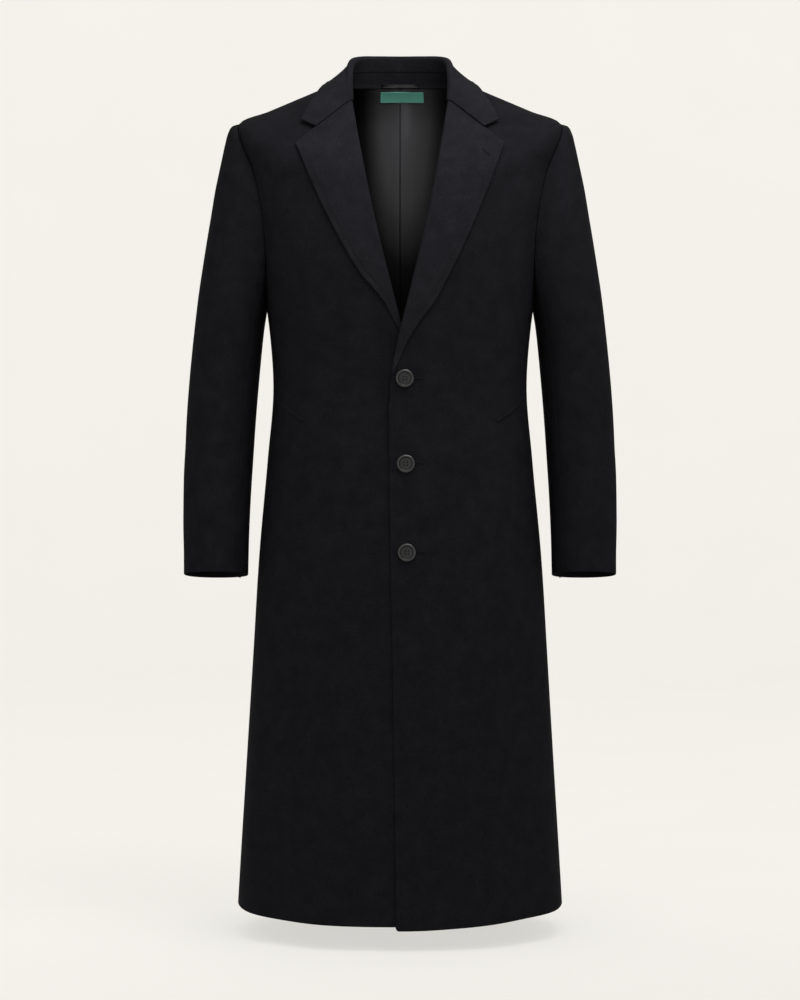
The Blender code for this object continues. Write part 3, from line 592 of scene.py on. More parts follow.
def roll_x(side, z):
    """The roll line seen from the front: x at a height, left side as +X."""
    share = (z - ROLL_CROSSING[side]) / (GORGE[1] - ROLL_CROSSING[side])
    straight = GORGE[0] * share
    below = min(max(break_z(side) - z, 0), FOOT_RUN_OUT)
    slope = GORGE[0] / (GORGE[1] - ROLL_CROSSING[side])
    straight += slope * below * below / (2 * FOOT_RUN_OUT)
    return straight + ROLL_BOW * math.sin(math.pi * min(max(share, 0), 1))


def break_z(side):
    """Height where the roll line meets the front edge."""
    slope = (GORGE[1] - ROLL_CROSSING[side]) / GORGE[0]
    return ROLL_CROSSING[side] + BREAK_X[side] * slope


def fold_radius(side, z):
    """The roll of the lapel: full above, and tight where the lapel runs out at the front edge."""
    share = (z - break_z(side)) / (GORGE[1] - break_z(side))
    return FOOT_RADIUS + (FOLD_RADIUS - FOOT_RADIUS) * float(smooth(share / FOOT_SPAN))


def front_edge(side, height):
    """Distance past the centre line of a front's edge, below the roll line."""
    at_waist, at_hem = FRONT_EDGE[side]
    return at_hem + (at_waist - at_hem) * smooth(height / HEIGHT_OF["waist"])


def front_start(side, height):
    """Where a front begins at a height: at its edge, then at the roll line."""
    edge = front_edge(side, height)
    low, high = edge, girth(False, height)

    def past_roll(reach):
        point = on_body(False, reach, height)
        return point[0] - roll_x(side, point[2]) - fold_radius(side, point[2]) - PANEL_SETBACK

    if past_roll(edge) >= 0:
        return edge
    for _ in range(HALVINGS):
        middle = (low + high) / 2
        if past_roll(middle) < 0:
            low = middle
        else:
            high = middle
    return high


def panel_heights():
    """Heights of a panel's rows from hem to neck, closer together at the ends of the armhole."""
    below = np.linspace(0, HEIGHT_OF["armpit"], ROWS_BELOW + 1)
    armhole = [armhole_height(turn) for turn in np.linspace(180, 0, ROWS_ARMHOLE + 1)[1:]]
    shoulder = np.linspace(HEIGHT_OF["tip"], HEIGHTS[-1], ROWS_SHOULDER + 1)
    return np.concatenate((below, armhole, shoulder[1:]))


# Making cloth

def on_side(side, rows):
    """Rows made for the left, put on a side of the centre line."""
    return np.asarray(rows, float) * np.array((side, 1, 1))


def dress(made, shade, node=None):
    """Give a piece its finish, and put it on the coat in place of a solid."""
    made.data.materials.append(shade)
    bpy.context.scene.collection.objects.link(made)
    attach(made, "root")
    if node:
        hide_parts(node)
    return made


def mesh_object(name, points, faces):
    mesh = bpy.data.meshes.new(name)
    mesh.from_pydata((np.asarray(points, float) * MM).tolist(), [], faces)
    mesh.shade_smooth()
    return bpy.data.objects.new(name, mesh)


def grid_normals(rows):
    return unit(np.cross(np.gradient(rows, axis=1), np.gradient(rows, axis=0)))


Sheet = namedtuple("Sheet", "piece rows normals")


def cloth(node, rows, wall, shade, flip=False, dents=None, rounding=SEAM_ROUND, meet=RIM_MEET):
    """A wall of cloth with rounded edges: its face runs through rows of points, dented along its normals.

    The rounded edge reaches past the seam by `meet`, halfway through the wall.
    """
    rows = np.asarray(rows, float)
    facing = -1 if flip else 1
    if dents is not None:
        rows = rows + grid_normals(rows) * facing * dents[..., None]
    flat_way = grid_normals(rows).reshape(-1, 3)
    normals = flat_way * facing
    row_count, column_count = rows.shape[:2]
    index = np.arange(row_count * column_count).reshape(row_count, column_count)
    border = np.concatenate((index[0, :-1], index[:-1, -1], index[-1, :0:-1], index[:0:-1, 0]))
    rounding = np.broadcast_to(rounding, rows.shape[:2]).reshape(-1, 1)[border]
    bulge = rounding + np.broadcast_to(meet, rows.shape[:2]).reshape(-1, 1)[border]
    face = rows.reshape(-1, 3).copy()
    direction = np.roll(face[border], -1, axis=0) - np.roll(face[border], 1, axis=0)
    out = unit(np.cross(direction, flat_way[border]))
    face[border] -= out * rounding
    inside = face - normals * np.broadcast_to(wall, rows.shape[:2]).reshape(-1, 1)
    middle = (face[border] + inside[border]) / 2
    half = (face[border] - inside[border]) / 2
    layers = [face, inside]
    loops = [border]
    for step in range(1, RIM_STEPS):
        turn = math.pi * step / RIM_STEPS
        layers.append(middle + half * math.cos(turn) + out * bulge * math.sin(turn))
        loops.append(2 * len(face) + (step - 1) * len(border) + np.arange(len(border)))
    loops.append(border + len(face))
    quads = np.stack((index[:-1, :-1], index[:-1, 1:], index[1:, 1:], index[1:, :-1]), axis=-1)
    quads = quads.reshape(-1, 4)
    faces = [quads, quads[:, ::-1] + len(face)]
    for first, second in zip(loops, loops[1:]):
        faces.append(np.stack((first, second, np.roll(second, -1), np.roll(first, -1)), axis=-1))
    faces = np.concatenate(faces)
    if flip:
        faces = faces[:, ::-1]
    made = mesh_object(f"cloth_{node}", np.concatenate(layers), faces.tolist())
    dress(made, shade, node)
    return Sheet(made, face.reshape(rows.shape), normals.reshape(rows.shape))


def creased(table, across, up):
    """How far soft troughs and ridges move the cloth at places across and up a panel."""
    total = np.zeros_like(across)
    for crease in table:
        way = np.array((crease.end_across - crease.across, crease.end_up - crease.up), float)
        length = np.linalg.norm(way)
        way /= length
        run = (across - crease.across) * way[0] + (up - crease.up) * way[1]
        off = (across - crease.across) * way[1] - (up - crease.up) * way[0]
        ends = smooth(CREASE_ENDS * run / length) * smooth(CREASE_ENDS * (1 - run / length))
        total += crease.depth * ends * np.exp(-((off / crease.width) ** 2))
    return total


def groove(distance):
    """The shallow line that edge stitching pulls into the cloth."""
    return GROOVE_DEPTH * np.exp(-(((distance - STITCH_INSET) / GROOVE_WIDTH) ** 2))


# Fronts, backs and lining

def make_fronts():
    made = {}
    heights = panel_heights()
    for side in (LEFT, RIGHT):
        rows, reaches, starts = [], [], []
        for height in heights:
            start = front_start(side, height)
            inset = armhole_inset(False, height)
            reach = spaced(start, girth(False, height), FRONT_COLUMNS, inset, EDGE_COLUMNS)
            rows.append(front_point(side, reach, height)[0])
            reaches.append(reach)
            starts.append(start)
        rows = np.array(rows)
        reaches = np.array(reaches)
        ups = np.repeat(heights[:, None], reaches.shape[1], axis=1)
        corner = np.clip(1 - (reaches - np.array(starts)[:, None]) / CORNER_ROUND, 0, 1)
        rows[..., 2] += CORNER_ROUND * (1 - np.sqrt(1 - corner**2)) * smooth(1 - ups / CORNER_FADE)
        away = smooth((reaches - FLAT_NEAR_EDGE[0]) / (FLAT_NEAR_EDGE[1] - FLAT_NEAR_EDGE[0]))
        dents = creased(FRONT_CREASES[side], reaches, ups) * away
        (x0, z0), (x1, z1) = DART[side]
        dart = Crease(x0, z0, x1, z1, DART_WIDTH, DART_DEPTH)
        dents += creased((dart,), rows[..., 0], rows[..., 2])
        if side == LEFT:
            below_roll = smooth((break_z(side) - rows[:, :1, 2]) / STITCH_PITCH)
            dents += groove(reaches - np.array(starts)[:, None]) * below_roll
        name = f"front_{SIDE_NAMES[side]}"
        made[side] = cloth(name, on_side(side, rows), CLOTH, WOOL, side == RIGHT, dents)
    return made


def back_panel(heights, columns, depth=0.0, trim=0.0, start=0.0):
    """Rows of the left back, or of what lies a depth inside it, with their places across and up."""
    rows, reaches = [], []
    for height in heights:
        reach = spaced(0.0, girth(True, height), columns, armhole_inset(True, height))
        reach = start + reach * (reach[-1] - trim - start) / reach[-1]
        tuck = smooth((HEIGHTS[-1] - height) / LINING_TUCK)
        inward = -outward(True, reach, height)
        row = on_body(True, reach, height) + min(depth, CLOTH + depth * tuck) * inward
        row[:, 2] -= hem_drop(RIGHT, row[:, 0], height)
        rows.append(row)
        reaches.append(reach)
    reaches = np.array(reaches)
    return np.array(rows), reaches, np.repeat(heights[:, None], reaches.shape[1], axis=1)


def make_backs():
    made = {}
    heights = panel_heights()
    back, across, up = back_panel(heights, BACK_COLUMNS)
    dents = creased(BACK_CREASES, across, up) * smooth(across / FLAT_NEAR_EDGE[1])
    beside_sleeve = (heights >= HEIGHT_OF["armpit"]) & (heights <= HEIGHT_OF["tip"])
    meet = np.full(back.shape[:2], RIM_MEET)
    meet[beside_sleeve, -1] = ARMHOLE_MEET
    lined = np.unique(np.clip(heights, LINING_HEM, HEIGHTS[-1] - LINING_TOP))
    lining, lining_across, lining_up = back_panel(
        lined, LINING_COLUMNS, CLOTH + LINING_GAP, LINING_TRIM, LINING_SEAM
    )
    lining_dents = creased(LINING_CREASES, lining_across, lining_up)
    for side in (LEFT, RIGHT):
        name = SIDE_NAMES[side]
        made[side] = cloth(
            f"back_{name}", on_side(side, back), CLOTH, WOOL, side == LEFT, dents,
            meet=meet,
        )
        # The lining's satin carries painted light and shade, darker to the sides and downwards
        satin = cloth(
            f"back_lining_{name}", on_side(side, lining), LINING_WALL, SATIN, side == LEFT,
            lining_dents, rounding=LINING_WALL / 2,
        )
    return made


# Sleeves

ARM_VALUES = np.array([row[1:] for row in SLEEVE_ARM], float)
ARM_KNOTS = (ARM_VALUES[:, 0] - ARM_VALUES[0, 0]) / (ARM_VALUES[-1, 0] - ARM_VALUES[0, 0])


def squared(values, square):
    """Sines or cosines of an oval, made squarer."""
    return np.sign(values) * np.abs(values) ** (2 / square)


def arm_ring(share, start_angle, end_angle):
    """Part of a ring of the arm; angle 0 points away from the body and 90 to the back."""
    _, outer_x, inner_x, front_y, back_y, tilt = (
        spline(ARM_KNOTS, ARM_VALUES[:, k], share) for k in range(6)
    )
    z = ARM_VALUES[0, 0] + (ARM_VALUES[-1, 0] - ARM_VALUES[0, 0]) * share
    angles = np.radians(np.linspace(start_angle, end_angle, LINE_SAMPLES))
    x = (outer_x + inner_x) / 2 + (outer_x - inner_x) / 2 * squared(np.cos(angles), ARM_SQUARE)
    y_middle = (front_y + back_y) / 2
    y = y_middle + (back_y - front_y) / 2 * squared(np.sin(angles), ARM_SQUARE)
    return np.stack((x, y, z - tilt * (y - y_middle)), axis=-1)


def cap_row(turn, outer_x, outer_z, spread):
    """A row of the sleeve's cap from the front of the armhole round the outside to its back."""
    front = armhole_point(turn)
    back = armhole_point(360 - turn)
    angles = np.radians(np.linspace(-spread, spread, LINE_SAMPLES))
    out = squared(np.cos(angles), CAP_SQUARE)
    out = (out - out[0]) / (1 - out[0])
    round_way = squared(np.sin(angles), CAP_SQUARE)
    round_way = round_way / round_way[-1]
    middle = (front + back) / 2
    reach = (np.array((outer_x, 0, outer_z)) - middle) * np.array((1, 0, 1))
    return middle + np.outer(round_way, (back - front) / 2) + np.outer(out, reach)


def resampled(points, columns):
    """Evenly spaced points along a line."""
    return along(points, np.linspace(0, lengths(points)[-1], columns + 1))


def refined(control, count):
    """More rows on a smooth surface through control rows, and where each falls among them."""
    steps = np.linalg.norm(np.diff(control, axis=0), axis=2).mean(axis=1)
    knots = np.concatenate(([0.0], np.cumsum(steps)))
    places = np.linspace(0, knots[-1], count + 1)
    rows = np.array([spline(knots, control, place) for place in places])
    return rows, np.interp(places, knots, np.arange(len(knots)))


def pinned(rows, first, last):
    """Rows whose two long edges are moved onto given lines, easing off into the panel."""
    fade = smooth(1 - np.arange(rows.shape[1]) / PIN_COLUMNS)
    first_miss = (first - rows[:, 0])[:, None]
    last_miss = (last - rows[:, -1])[:, None]
    return rows + first_miss * fade[None, :, None] + last_miss * fade[::-1][None, :, None]


def sleeve_rows():
    """Rows of the left top sleeve and under sleeve."""
    caps = np.array([cap[1:] for cap in SLEEVE_CAP], float)
    cap_control = [resampled(armhole_arc(CAP_TOP_TURN, 0, CREST_SAMPLES), SLEEVE_COLUMNS)]
    cap_control += [resampled(cap_row(*cap), SLEEVE_COLUMNS) for cap in caps]
    turns = np.concatenate(([CAP_TOP_TURN], caps[:, 0]))
    arm_shares = np.linspace(0, 1, ARM_CONTROL_ROWS)
    top_rings = [resampled(arm_ring(s, -SEAM_ANGLE, SEAM_ANGLE), SLEEVE_COLUMNS) for s in arm_shares]
    under_rings = [
        resampled(arm_ring(s, -SEAM_ANGLE, SEAM_ANGLE - 360), UNDER_COLUMNS) for s in arm_shares
    ]
    control = np.array(cap_control + top_rings)
    top, where = refined(control, SLEEVE_ROWS_CAP + SLEEVE_ROWS_ARM)
    pitch = len(turns) - 1
    last_cap = int(np.searchsorted(where, pitch, side="right"))
    row_turns = np.interp(where[:last_cap], np.arange(len(turns)), turns)
    first = top[:, 0].copy()
    last = top[:, -1].copy()
    first[:last_cap] = [armhole_point(turn) for turn in row_turns]
    last[:last_cap] = [armhole_point(360 - turn) for turn in row_turns]
    first[0], last[0] = top[0, 0], top[0, -1]
    top = pinned(top, first, last)
    scoop = armhole_arc(caps[-1, 0], 180, SCOOP_SAMPLES)
    under_control = np.array([resampled(scoop, UNDER_COLUMNS)] + under_rings)
    under, under_where = refined(under_control, SLEEVE_ROWS_ARM)
    seam_where = where - pitch
    edges = []
    for column in (0, -1):
        seam = [np.interp(under_where, seam_where, top[:, column, k]) for k in range(3)]
        edges.append(np.stack(seam, axis=-1))
    return top, pinned(under, *edges)


def make_sleeves():
    top, under = sleeve_rows()
    run = np.array([lengths(row) for row in top])
    across = run - run[:, -1:] / 2
    dents = creased(SLEEVE_CREASES, across, top[..., 2])
    calm = smooth(np.arange(top.shape[0]) / PIN_COLUMNS)[:, None]
    calm = calm * smooth(run / SLEEVE_CALM) * smooth((run[:, -1:] - run) / SLEEVE_CALM)
    # The seam reaches under the back and the armpit, where the two walls meet at a hollow angle
    top_meet = np.full(top.shape[:2], RIM_MEET)
    top_meet[:, -1] = SLEEVE_MEET
    top_meet[0, int(SLEEVE_COLUMNS * CREST_START):] = CREST_MEET
    under_meet = np.full(under.shape[:2], RIM_MEET)
    under_meet[0] = SLEEVE_MEET
    made = {}
    for side in (LEFT, RIGHT):
        name = SIDE_NAMES[side]
        made[side] = cloth(
            f"sleeve_top_{name}", on_side(side, top), CLOTH, WOOL, side == LEFT, dents * calm,
            meet=top_meet,
        )
        lower = cloth(
            f"sleeve_under_{name}", on_side(side, under), CLOTH, WOOL, side == RIGHT,
            meet=under_meet,
        )
    return made


# Lapels and collar

def turned_over(inner, apex, way, outer_line, radius, tangent):
    """A row of cloth turned over at a fold: up the inner leg, round the apex and out along a line."""
    normal = np.cross(tangent, way)
    normal = unit(normal) * math.copysign(1, np.dot(normal, outer_line[0] - inner))
    centre = apex + way * radius
    start = centre - normal * radius
    row = [inner + (start - inner) * k / INNER_STEPS for k in range(INNER_STEPS)]
    for turn in np.radians(np.linspace(-90, 90, FOLD_STEPS + 1)):
        row.append(centre + radius * (normal * math.sin(turn) - way * math.cos(turn)))
    return row + list(outer_line)


def lapel_row(side, share):
    """A row of a lapel, from behind the front round the roll line to the lapel's edge."""
    bottom = break_z(side)
    roll_z = bottom + (GORGE[1] - bottom) * share
    roll = np.array((roll_x(side, roll_z), roll_z))
    foot = np.array((BREAK_X[side], bottom)) + LAPEL_FOOT
    edge = foot + (np.array(LAPEL_TIP) - foot) * share
    edge_way = unit(np.array(LAPEL_TIP) - foot)
    belly = LAPEL_BELLY * math.sin(math.pi * share) ** BELLY_POWER
    belly -= FOOT_HOLLOW * math.sin(math.pi * min(share / FOOT_HOLLOW_SHARE, 1)) ** 2
    edge = edge + np.array((edge_way[1], -edge_way[0])) * belly

    guess = None

    def over(at, lift):
        nonlocal guess
        x, z = roll + (edge - roll) * at
        guess = find_front(x, z, guess)
        return front_point(side, *guess, lift)

    apex = over(0.0, -CLOTH / 2)[0]
    width = np.linalg.norm(edge - roll)
    turn_in = FACING_TURN[0] + (FACING_TURN[1] - FACING_TURN[0]) * smooth(share / FACING_FULL_SHARE)
    radius = fold_radius(side, roll_z)
    inner = over(turn_in / width, -CLOTH / 2 - radius)[0]
    past_fold = min(radius * FOLD_CLEAR, width * FOLD_CLEAR_MOST)
    outer_line = []
    for at in np.linspace(past_fold, width, LAPEL_COLUMNS + 1) / width:
        lift = radius - CLOTH / 2
        edge_lift = LAPEL_EDGE_LIFT + radius - FOLD_RADIUS
        lift += (edge_lift - lift) * smooth(at)
        outer_line.append(over(at, lift)[0])
    way = unit(over(past_fold / width, -CLOTH / 2)[0] - apex)
    return inner, apex, way, outer_line, radius


def edge_distances(rows):
    """How far each point of a turned row lies from the row's last point."""
    run = np.array([lengths(row) for row in rows])
    return run[:, -1:] - run


def make_lapels():
    made = {}
    shares = np.linspace(0, 1, LAPEL_ROWS + 1) ** LAPEL_CROWDING
    for side in (LEFT, RIGHT):
        parts = [lapel_row(side, share) for share in shares]
        tangents = np.gradient(np.array([part[1] for part in parts]), axis=0)
        rows = np.array([turned_over(*part, tangent) for part, tangent in zip(parts, tangents)])
        radii = np.array([part[4] for part in parts])
        wall = np.minimum(LAPEL_WALL, radii - CLOTH / 2 - LAPEL_CLEAR)[:, None]
        wall = np.repeat(wall, rows.shape[1], axis=1)
        run = edge_distances(rows)
        dents = groove(run) * smooth(run[:, :1] / GROOVE_START - 1)
        rounding = np.full(rows.shape[:2], EDGE_ROUND)
        rounding[-1, rows[-1, :, 0] < NOTCH[0]] = GORGE_ROUND
        name = f"lapel_{SIDE_NAMES[side]}"
        # The lapel gets the lighter copy of the wool, which is painted light
        made[side] = cloth(
            name, on_side(side, rows), wall, PAINTED_LIGHT_WOOL, side == RIGHT, dents, rounding
        )
    return made


def neck_line():
    """The left half of the neck seam on the inner face, from the gorge to the nape."""
    top = HEIGHTS[-1]
    front = np.linspace(front_start(LEFT, top), girth(False, top), NECK_SAMPLES)
    back = np.linspace(girth(True, top), 0, NECK_SAMPLES)[1:]
    return np.concatenate((
        on_body(False, front, top) - CLOTH * outward(False, front, top),
        on_body(True, back, top) - CLOTH * outward(True, back, top),
    ))


def collar_edge():
    """The left half of the collar's outer edge, lying just off the body from its tip to the nape."""
    widths = LEVELS[SHOULDER_RINGS, SIDE_X]
    shoulder = float(np.interp(-COLLAR_SHOULDER_X, -widths, HEIGHTS[SHOULDER_RINGS]))
    nape = back_height(COLLAR_BACK_Z)
    spots = [(False, *find_front(*COLLAR_TIP)), (False, *find_front(*COLLAR_MIDDLE))]
    spots.append((False, girth(False, shoulder), shoulder))
    for share in COLLAR_BACK_SHARES:
        level = shoulder + (nape - shoulder) * float(smooth(share))
        spots.append((True, girth(True, level) * (1 - share), level))
    points = np.array([on_body(*spot) + outward(*spot) * COLLAR_LIFT for spot in spots])
    knots = lengths(points)
    return np.array([spline(knots, points, at) for at in np.linspace(0, knots[-1], NECK_SAMPLES)])


def collar_end(places):
    """The collar's front end on the left: down the gorge seam, tucked under the lapel, then to the tip."""
    corners = np.array((GORGE, NOTCH, COLLAR_TIP)) - COLLAR_TUCK[0] * unit(np.array((1.0, 1.0)))
    run = lengths(corners)
    points = []
    for place in places:
        x, z = (np.interp(place * run[-1], run, corners[:, k]) for k in range(2))
        lift = FOLD_RADIUS - CLOTH / 2
        lift += (LAPEL_EDGE_LIFT - lift) * smooth(place) - COLLAR_TUCK[1]
        points.append(front_point(LEFT, *find_front(x, z), lift)[0])
    return np.array(points)


def make_collar():
    fold_values = np.array([row[1:] for row in COLLAR_FOLD], float)
    knots = lengths(fold_values)
    gorge_inner, gorge_apex, gorge_way = lapel_row(LEFT, 1.0)[:3]
    fold_values[0] = gorge_apex + gorge_way * COLLAR_TUCK[1]
    swell_places, swell_sizes = np.array(COLLAR_SWELL).T
    shares = np.linspace(0, 1, COLLAR_HALF_ROWS + 1)
    fold_places = COLLAR_START + (1 - COLLAR_START) * shares
    fold = np.array([spline(knots, fold_values, place * knots[-1]) for place in fold_places])
    seam = neck_line()
    seam = along(seam, shares * lengths(seam)[-1])
    edge = collar_edge()
    edge = along(edge, shares * lengths(edge)[-1])
    tangents = np.gradient(fold, axis=0)
    tangents[-1] = (-1, 0, 0)
    notch_place = np.linalg.norm(np.subtract(NOTCH, GORGE))
    notch_place /= notch_place + np.linalg.norm(np.subtract(COLLAR_TIP, NOTCH))
    gorge_places = np.linspace(0, notch_place, GORGE_COLUMNS + 1)[GORGE_SKIP:]
    places = np.concatenate((gorge_places, np.linspace(notch_place, 1, NOTCH_COLUMNS + 1)[1:]))
    end_line = collar_end(places)
    behind = gorge_inner - seam[0] - (fold[0] - seam[0]) * STAND_SHARE
    gorge_normal = front_point(LEFT, *find_front(*GORGE))[1]
    gorge_in = gorge_normal * np.dot(behind, gorge_normal)
    gorge_down = behind - gorge_in
    end_straight = fold[0] + np.outer(places, edge[0] - fold[0])
    stand_rows, fall_rows = [], []
    for k, share in enumerate(shares):
        middle = seam[k] + (fold[k] - seam[k]) * STAND_SHARE
        straight = fold[k] + np.outer(places, edge[k] - fold[k])
        fade = (1 - smooth(share / END_FADE_SPAN)) ** END_FADE_POWER
        outer_line = straight + (end_line - end_straight) * fade
        across = unit(np.cross(edge[k] - fold[k], tangents[k]))
        swell = spline(swell_places, swell_sizes, share)
        outer_line += np.outer(np.sin(np.pi * places) ** SWELL_POWER, across * swell)
        way = unit(unit(middle - fold[k]) + unit(edge[k] - fold[k]))
        way = unit(way + (gorge_way - way) * fade)
        radius = COLLAR_RADIUS + (FOLD_RADIUS - COLLAR_TUCK[1] - COLLAR_RADIUS) * fade
        inner = middle + gorge_down * (1 - smooth(share / GORGE_DOWN_SPAN))
        inner += gorge_in * (1 - smooth(share / GORGE_IN_SPAN))
        inner += unit(tangents[k]) * COLLAR_INNER_SHIFT * fade
        fall_rows.append(turned_over(inner, fold[k], way, outer_line, radius, tangents[k]))
        if share >= STAND_START:
            up_way = fold[k] - seam[k]
            low = seam[k] - up_way * STAND_OVERLAP
            top = seam[k] + up_way * (STAND_SHARE - STAND_EDGE_GAP)
            inward = unit(np.cross(up_way, tangents[k])) * STAND_IN
            stand_row = []
            for at in np.linspace(0, 1, STAND_STEPS + 1):
                stand_row.append(low + (top - low) * at + inward * smooth(1 - at / STAND_IN_SHARE))
            stand_rows.append(stand_row)
    fall_rows = np.array(fall_rows)
    stand_rows = np.array(stand_rows)
    fall_rows = np.concatenate((fall_rows, on_side(RIGHT, fall_rows[-2::-1])))
    stand_rows = np.concatenate((stand_rows, on_side(RIGHT, stand_rows[-2::-1])))
    dents = groove(edge_distances(fall_rows))
    rounding = np.full(fall_rows.shape[:2], EDGE_ROUND)
    rounding[[0, -1], :INNER_STEPS + FOLD_STEPS + 1 + len(gorge_places)] = GORGE_ROUND
    # The collar fall gets the lighter copy of the wool, which is painted light
    fall = cloth("collar_fall", fall_rows, CLOTH, PAINTED_LIGHT_WOOL, True, dents, rounding)
    stand = cloth("collar_stand", stand_rows, CLOTH, WOOL, True)
    return fall, stand


# Sewing

def tube(path, radius, sides, points, faces, up=None):
    """Add a round cord along a path, closed at both ends, to lists of points and faces."""
    path = np.asarray(path, float)
    way = unit(np.gradient(path, axis=0))
    up = np.array((0.0, -1.0, 0.0)) if up is None else np.asarray(up, float)
    right = unit(np.cross(way, up))
    over = np.cross(right, way)
    start = len(points)
    taper = np.ones(len(path))
    taper[[0, -1]] = CORD_TAPER
    for spot, side, top, size in zip(path, right, over, taper):
        for turn in np.linspace(0, 2 * math.pi, sides, endpoint=False):
            points.append(spot + radius * size * (side * math.cos(turn) + top * math.sin(turn)))
    for ring_number in range(len(path) - 1):
        low = start + ring_number * sides
        for k in range(sides):
            after = (k + 1) % sides
            faces.append((low + k, low + after, low + sides + after, low + sides + k))
    faces.append(tuple(start + k for k in range(sides))[::-1])
    faces.append(tuple(start + (len(path) - 1) * sides + k for k in range(sides)))


def stitch_row(name, line, normals):
    """Short stitches sunk along a line on the cloth."""
    run = lengths(line)
    shares, rises = np.array(STITCH_ARCH).T
    points, faces = [], []
    for middle in np.arange(STITCH_PITCH, run[-1] - STITCH_PITCH / 2, STITCH_PITCH):
        up = unit(along(normals, np.interp(middle, run, lengths(normals))))
        path = along(line, middle + STITCH_LENGTH * shares) + (rises - STITCH_SINK)[:, None] * up
        tube(path, STITCH_RADIUS, STITCH_SIDES, points, faces, up)
    return dress(mesh_object(name, points, faces), THREAD)


def line_on(sheet, distance_from, distance, keep=slice(None)):
    """A line on a panel at a distance along its rows, with the panel's normals there."""
    line, normals = [], []
    for row, normal in zip(sheet.rows[keep], sheet.normals[keep]):
        run = lengths(row)
        place = distance if distance_from == "start" else run[-1] - distance
        line.append(along(row, place))
        normals.append([np.interp(place, run, normal[:, k]) for k in range(3)])
    return np.array(line), np.array(normals)


def make_edge_stitches(fronts, lapels, collar):
    made = {}
    front = fronts[LEFT]
    below = front.rows[:, 0, 2] < break_z(LEFT)
    inset = STITCH_INSET - SEAM_ROUND
    made["front"] = [stitch_row("stitches_front_edge", *line_on(front, "start", inset, below))]
    inset = STITCH_INSET - EDGE_ROUND
    for side in (LEFT, RIGHT):
        name = SIDE_NAMES[side]
        made[side] = [stitch_row(f"stitches_lapel_{name}", *line_on(lapels[side], "end", inset))]
    made["collar"] = [stitch_row("stitches_collar", *line_on(collar, "end", inset))]
    return made


def buttonhole(name, spots, normals):
    """A worked buttonhole: two corded lips round a dark slit, and a bar at each end."""
    spots = np.asarray(spots, float)
    normals = np.asarray(normals, float)
    way = unit(np.gradient(spots, axis=0))
    across = unit(np.cross(normals, way))
    points, faces = [], []
    for hand in (-1, 1):
        path = spots + across * hand * BUTTONHOLE_HALF + normals * CORD_RADIUS * LIP_RISE
        tube(path, CORD_RADIUS, CORD_SIDES, points, faces, normals[0])
    for end in (0, -1):
        bar = np.outer(np.linspace(-1, 1, BAR_POINTS), across[end] * BUTTONHOLE_HALF * BAR_REACH)
        bar = spots[end] + bar + normals[end] * CORD_RADIUS * BAR_RISE
        tube(bar, CORD_RADIUS, CORD_SIDES, points, faces, normals[end])
    return dress(mesh_object(name, points, faces), CORD)


def make_buttonholes():
    made = []
    for number, (x, z) in enumerate(BUTTONS, 1):
        spots, normals = [], []
        for step in np.linspace(BUTTONHOLE_START, BUTTONHOLE_LENGTH, BUTTONHOLE_STEPS + 1):
            spot, normal = front_point(LEFT, *find_front(x + step, z))
            spots.append(spot)
            normals.append(normal)
        made.append(buttonhole(f"buttonhole_{number}", spots, normals))
    return made


def make_lapel_hole(lapel):
    """The worked hole on the left lapel, laid on the lapel's face."""
    face = lapel.rows.reshape(-1, 3)
    normals = lapel.normals.reshape(-1, 3)
    ahead = normals[:, 1] < 0
    spots, ups = [], []
    (x0, z0), (x1, z1) = LAPEL_HOLE
    for share in np.linspace(0, 1, LAPEL_HOLE_POINTS):
        spot = np.array((x0 + (x1 - x0) * share, z0 + (z1 - z0) * share))
        near = np.linalg.norm(face[:, [0, 2]] - spot, axis=1) + np.where(ahead, 0, OUT_OF_REACH)
        closest = np.argsort(near)[:LAPEL_HOLE_NEAREST]
        weight = 1 / (near[closest] + LAPEL_HOLE_SOFTNESS)
        weight /= weight.sum()
        y = float((face[closest, 1] * weight).sum())
        spots.append((spot[0], y, spot[1]))
        ups.append(unit((normals[closest] * weight[:, None]).sum(axis=0)))
    spots = np.array(spots)
    order = np.arange(LAPEL_HOLE_POINTS)
    spots[:, 1] = np.polyval(np.polyfit(order, spots[:, 1], 2), order)
    return buttonhole("buttonhole_lapel", spots, np.array(ups))


# Small pieces

def make_welts():
    made = {}
    start = np.array(find_front(*WELT_FRONT))
    slope = unit(np.array((1.0, WELT_RISE)))
    across = np.array((-slope[1], slope[0])) * WELT_WIDTH
    steps = np.linspace(0, WELT_LENGTH, WELT_STEPS + 1)
    for side in (LEFT, RIGHT):
        name = SIDE_NAMES[side]
        rows = []
        for at in np.linspace(-0.5, 0.5, WELT_ROWS + 1):
            lift = WELT_LIFT * (1 - (2 * at) ** CROWN_POWER)
            places = start + np.outer(steps, slope) + across * at
            rows.append([front_point(side, reach, height, lift)[0] for reach, height in places])
        made[side] = cloth(
            f"pocket_welt_{name}", on_side(side, rows), WELT_WALL, WOOL, side == RIGHT,
            rounding=WELT_WALL / 2,
        )
    return made


def turned(name, profile, segments):
    """A body turned about Z from a profile of radius and height, run from top to bottom."""
    mesh = bpy.data.meshes.new(name)
    points = [(radius * MM, 0, height * MM) for radius, height in profile]
    mesh.from_pydata(points, [(k, k + 1) for k in range(len(points) - 1)], [])
    made = bpy.data.objects.new(name, mesh)
    screw = made.modifiers.new("turn", "SCREW")
    screw.axis = "Z"
    screw.steps = segments
    screw.render_steps = segments
    screw.use_merge_vertices = True
    screw.merge_threshold = MERGE_DISTANCE * MM
    return made


def applied(made):
    """Turn an object with modifiers into a plain mesh."""
    bpy.context.scene.collection.objects.link(made)
    graph = bpy.context.evaluated_depsgraph_get()
    mesh = bpy.data.meshes.new_from_object(made.evaluated_get(graph))
    bpy.context.scene.collection.objects.unlink(made)
    made.modifiers.clear()
    made.data = mesh
    return made


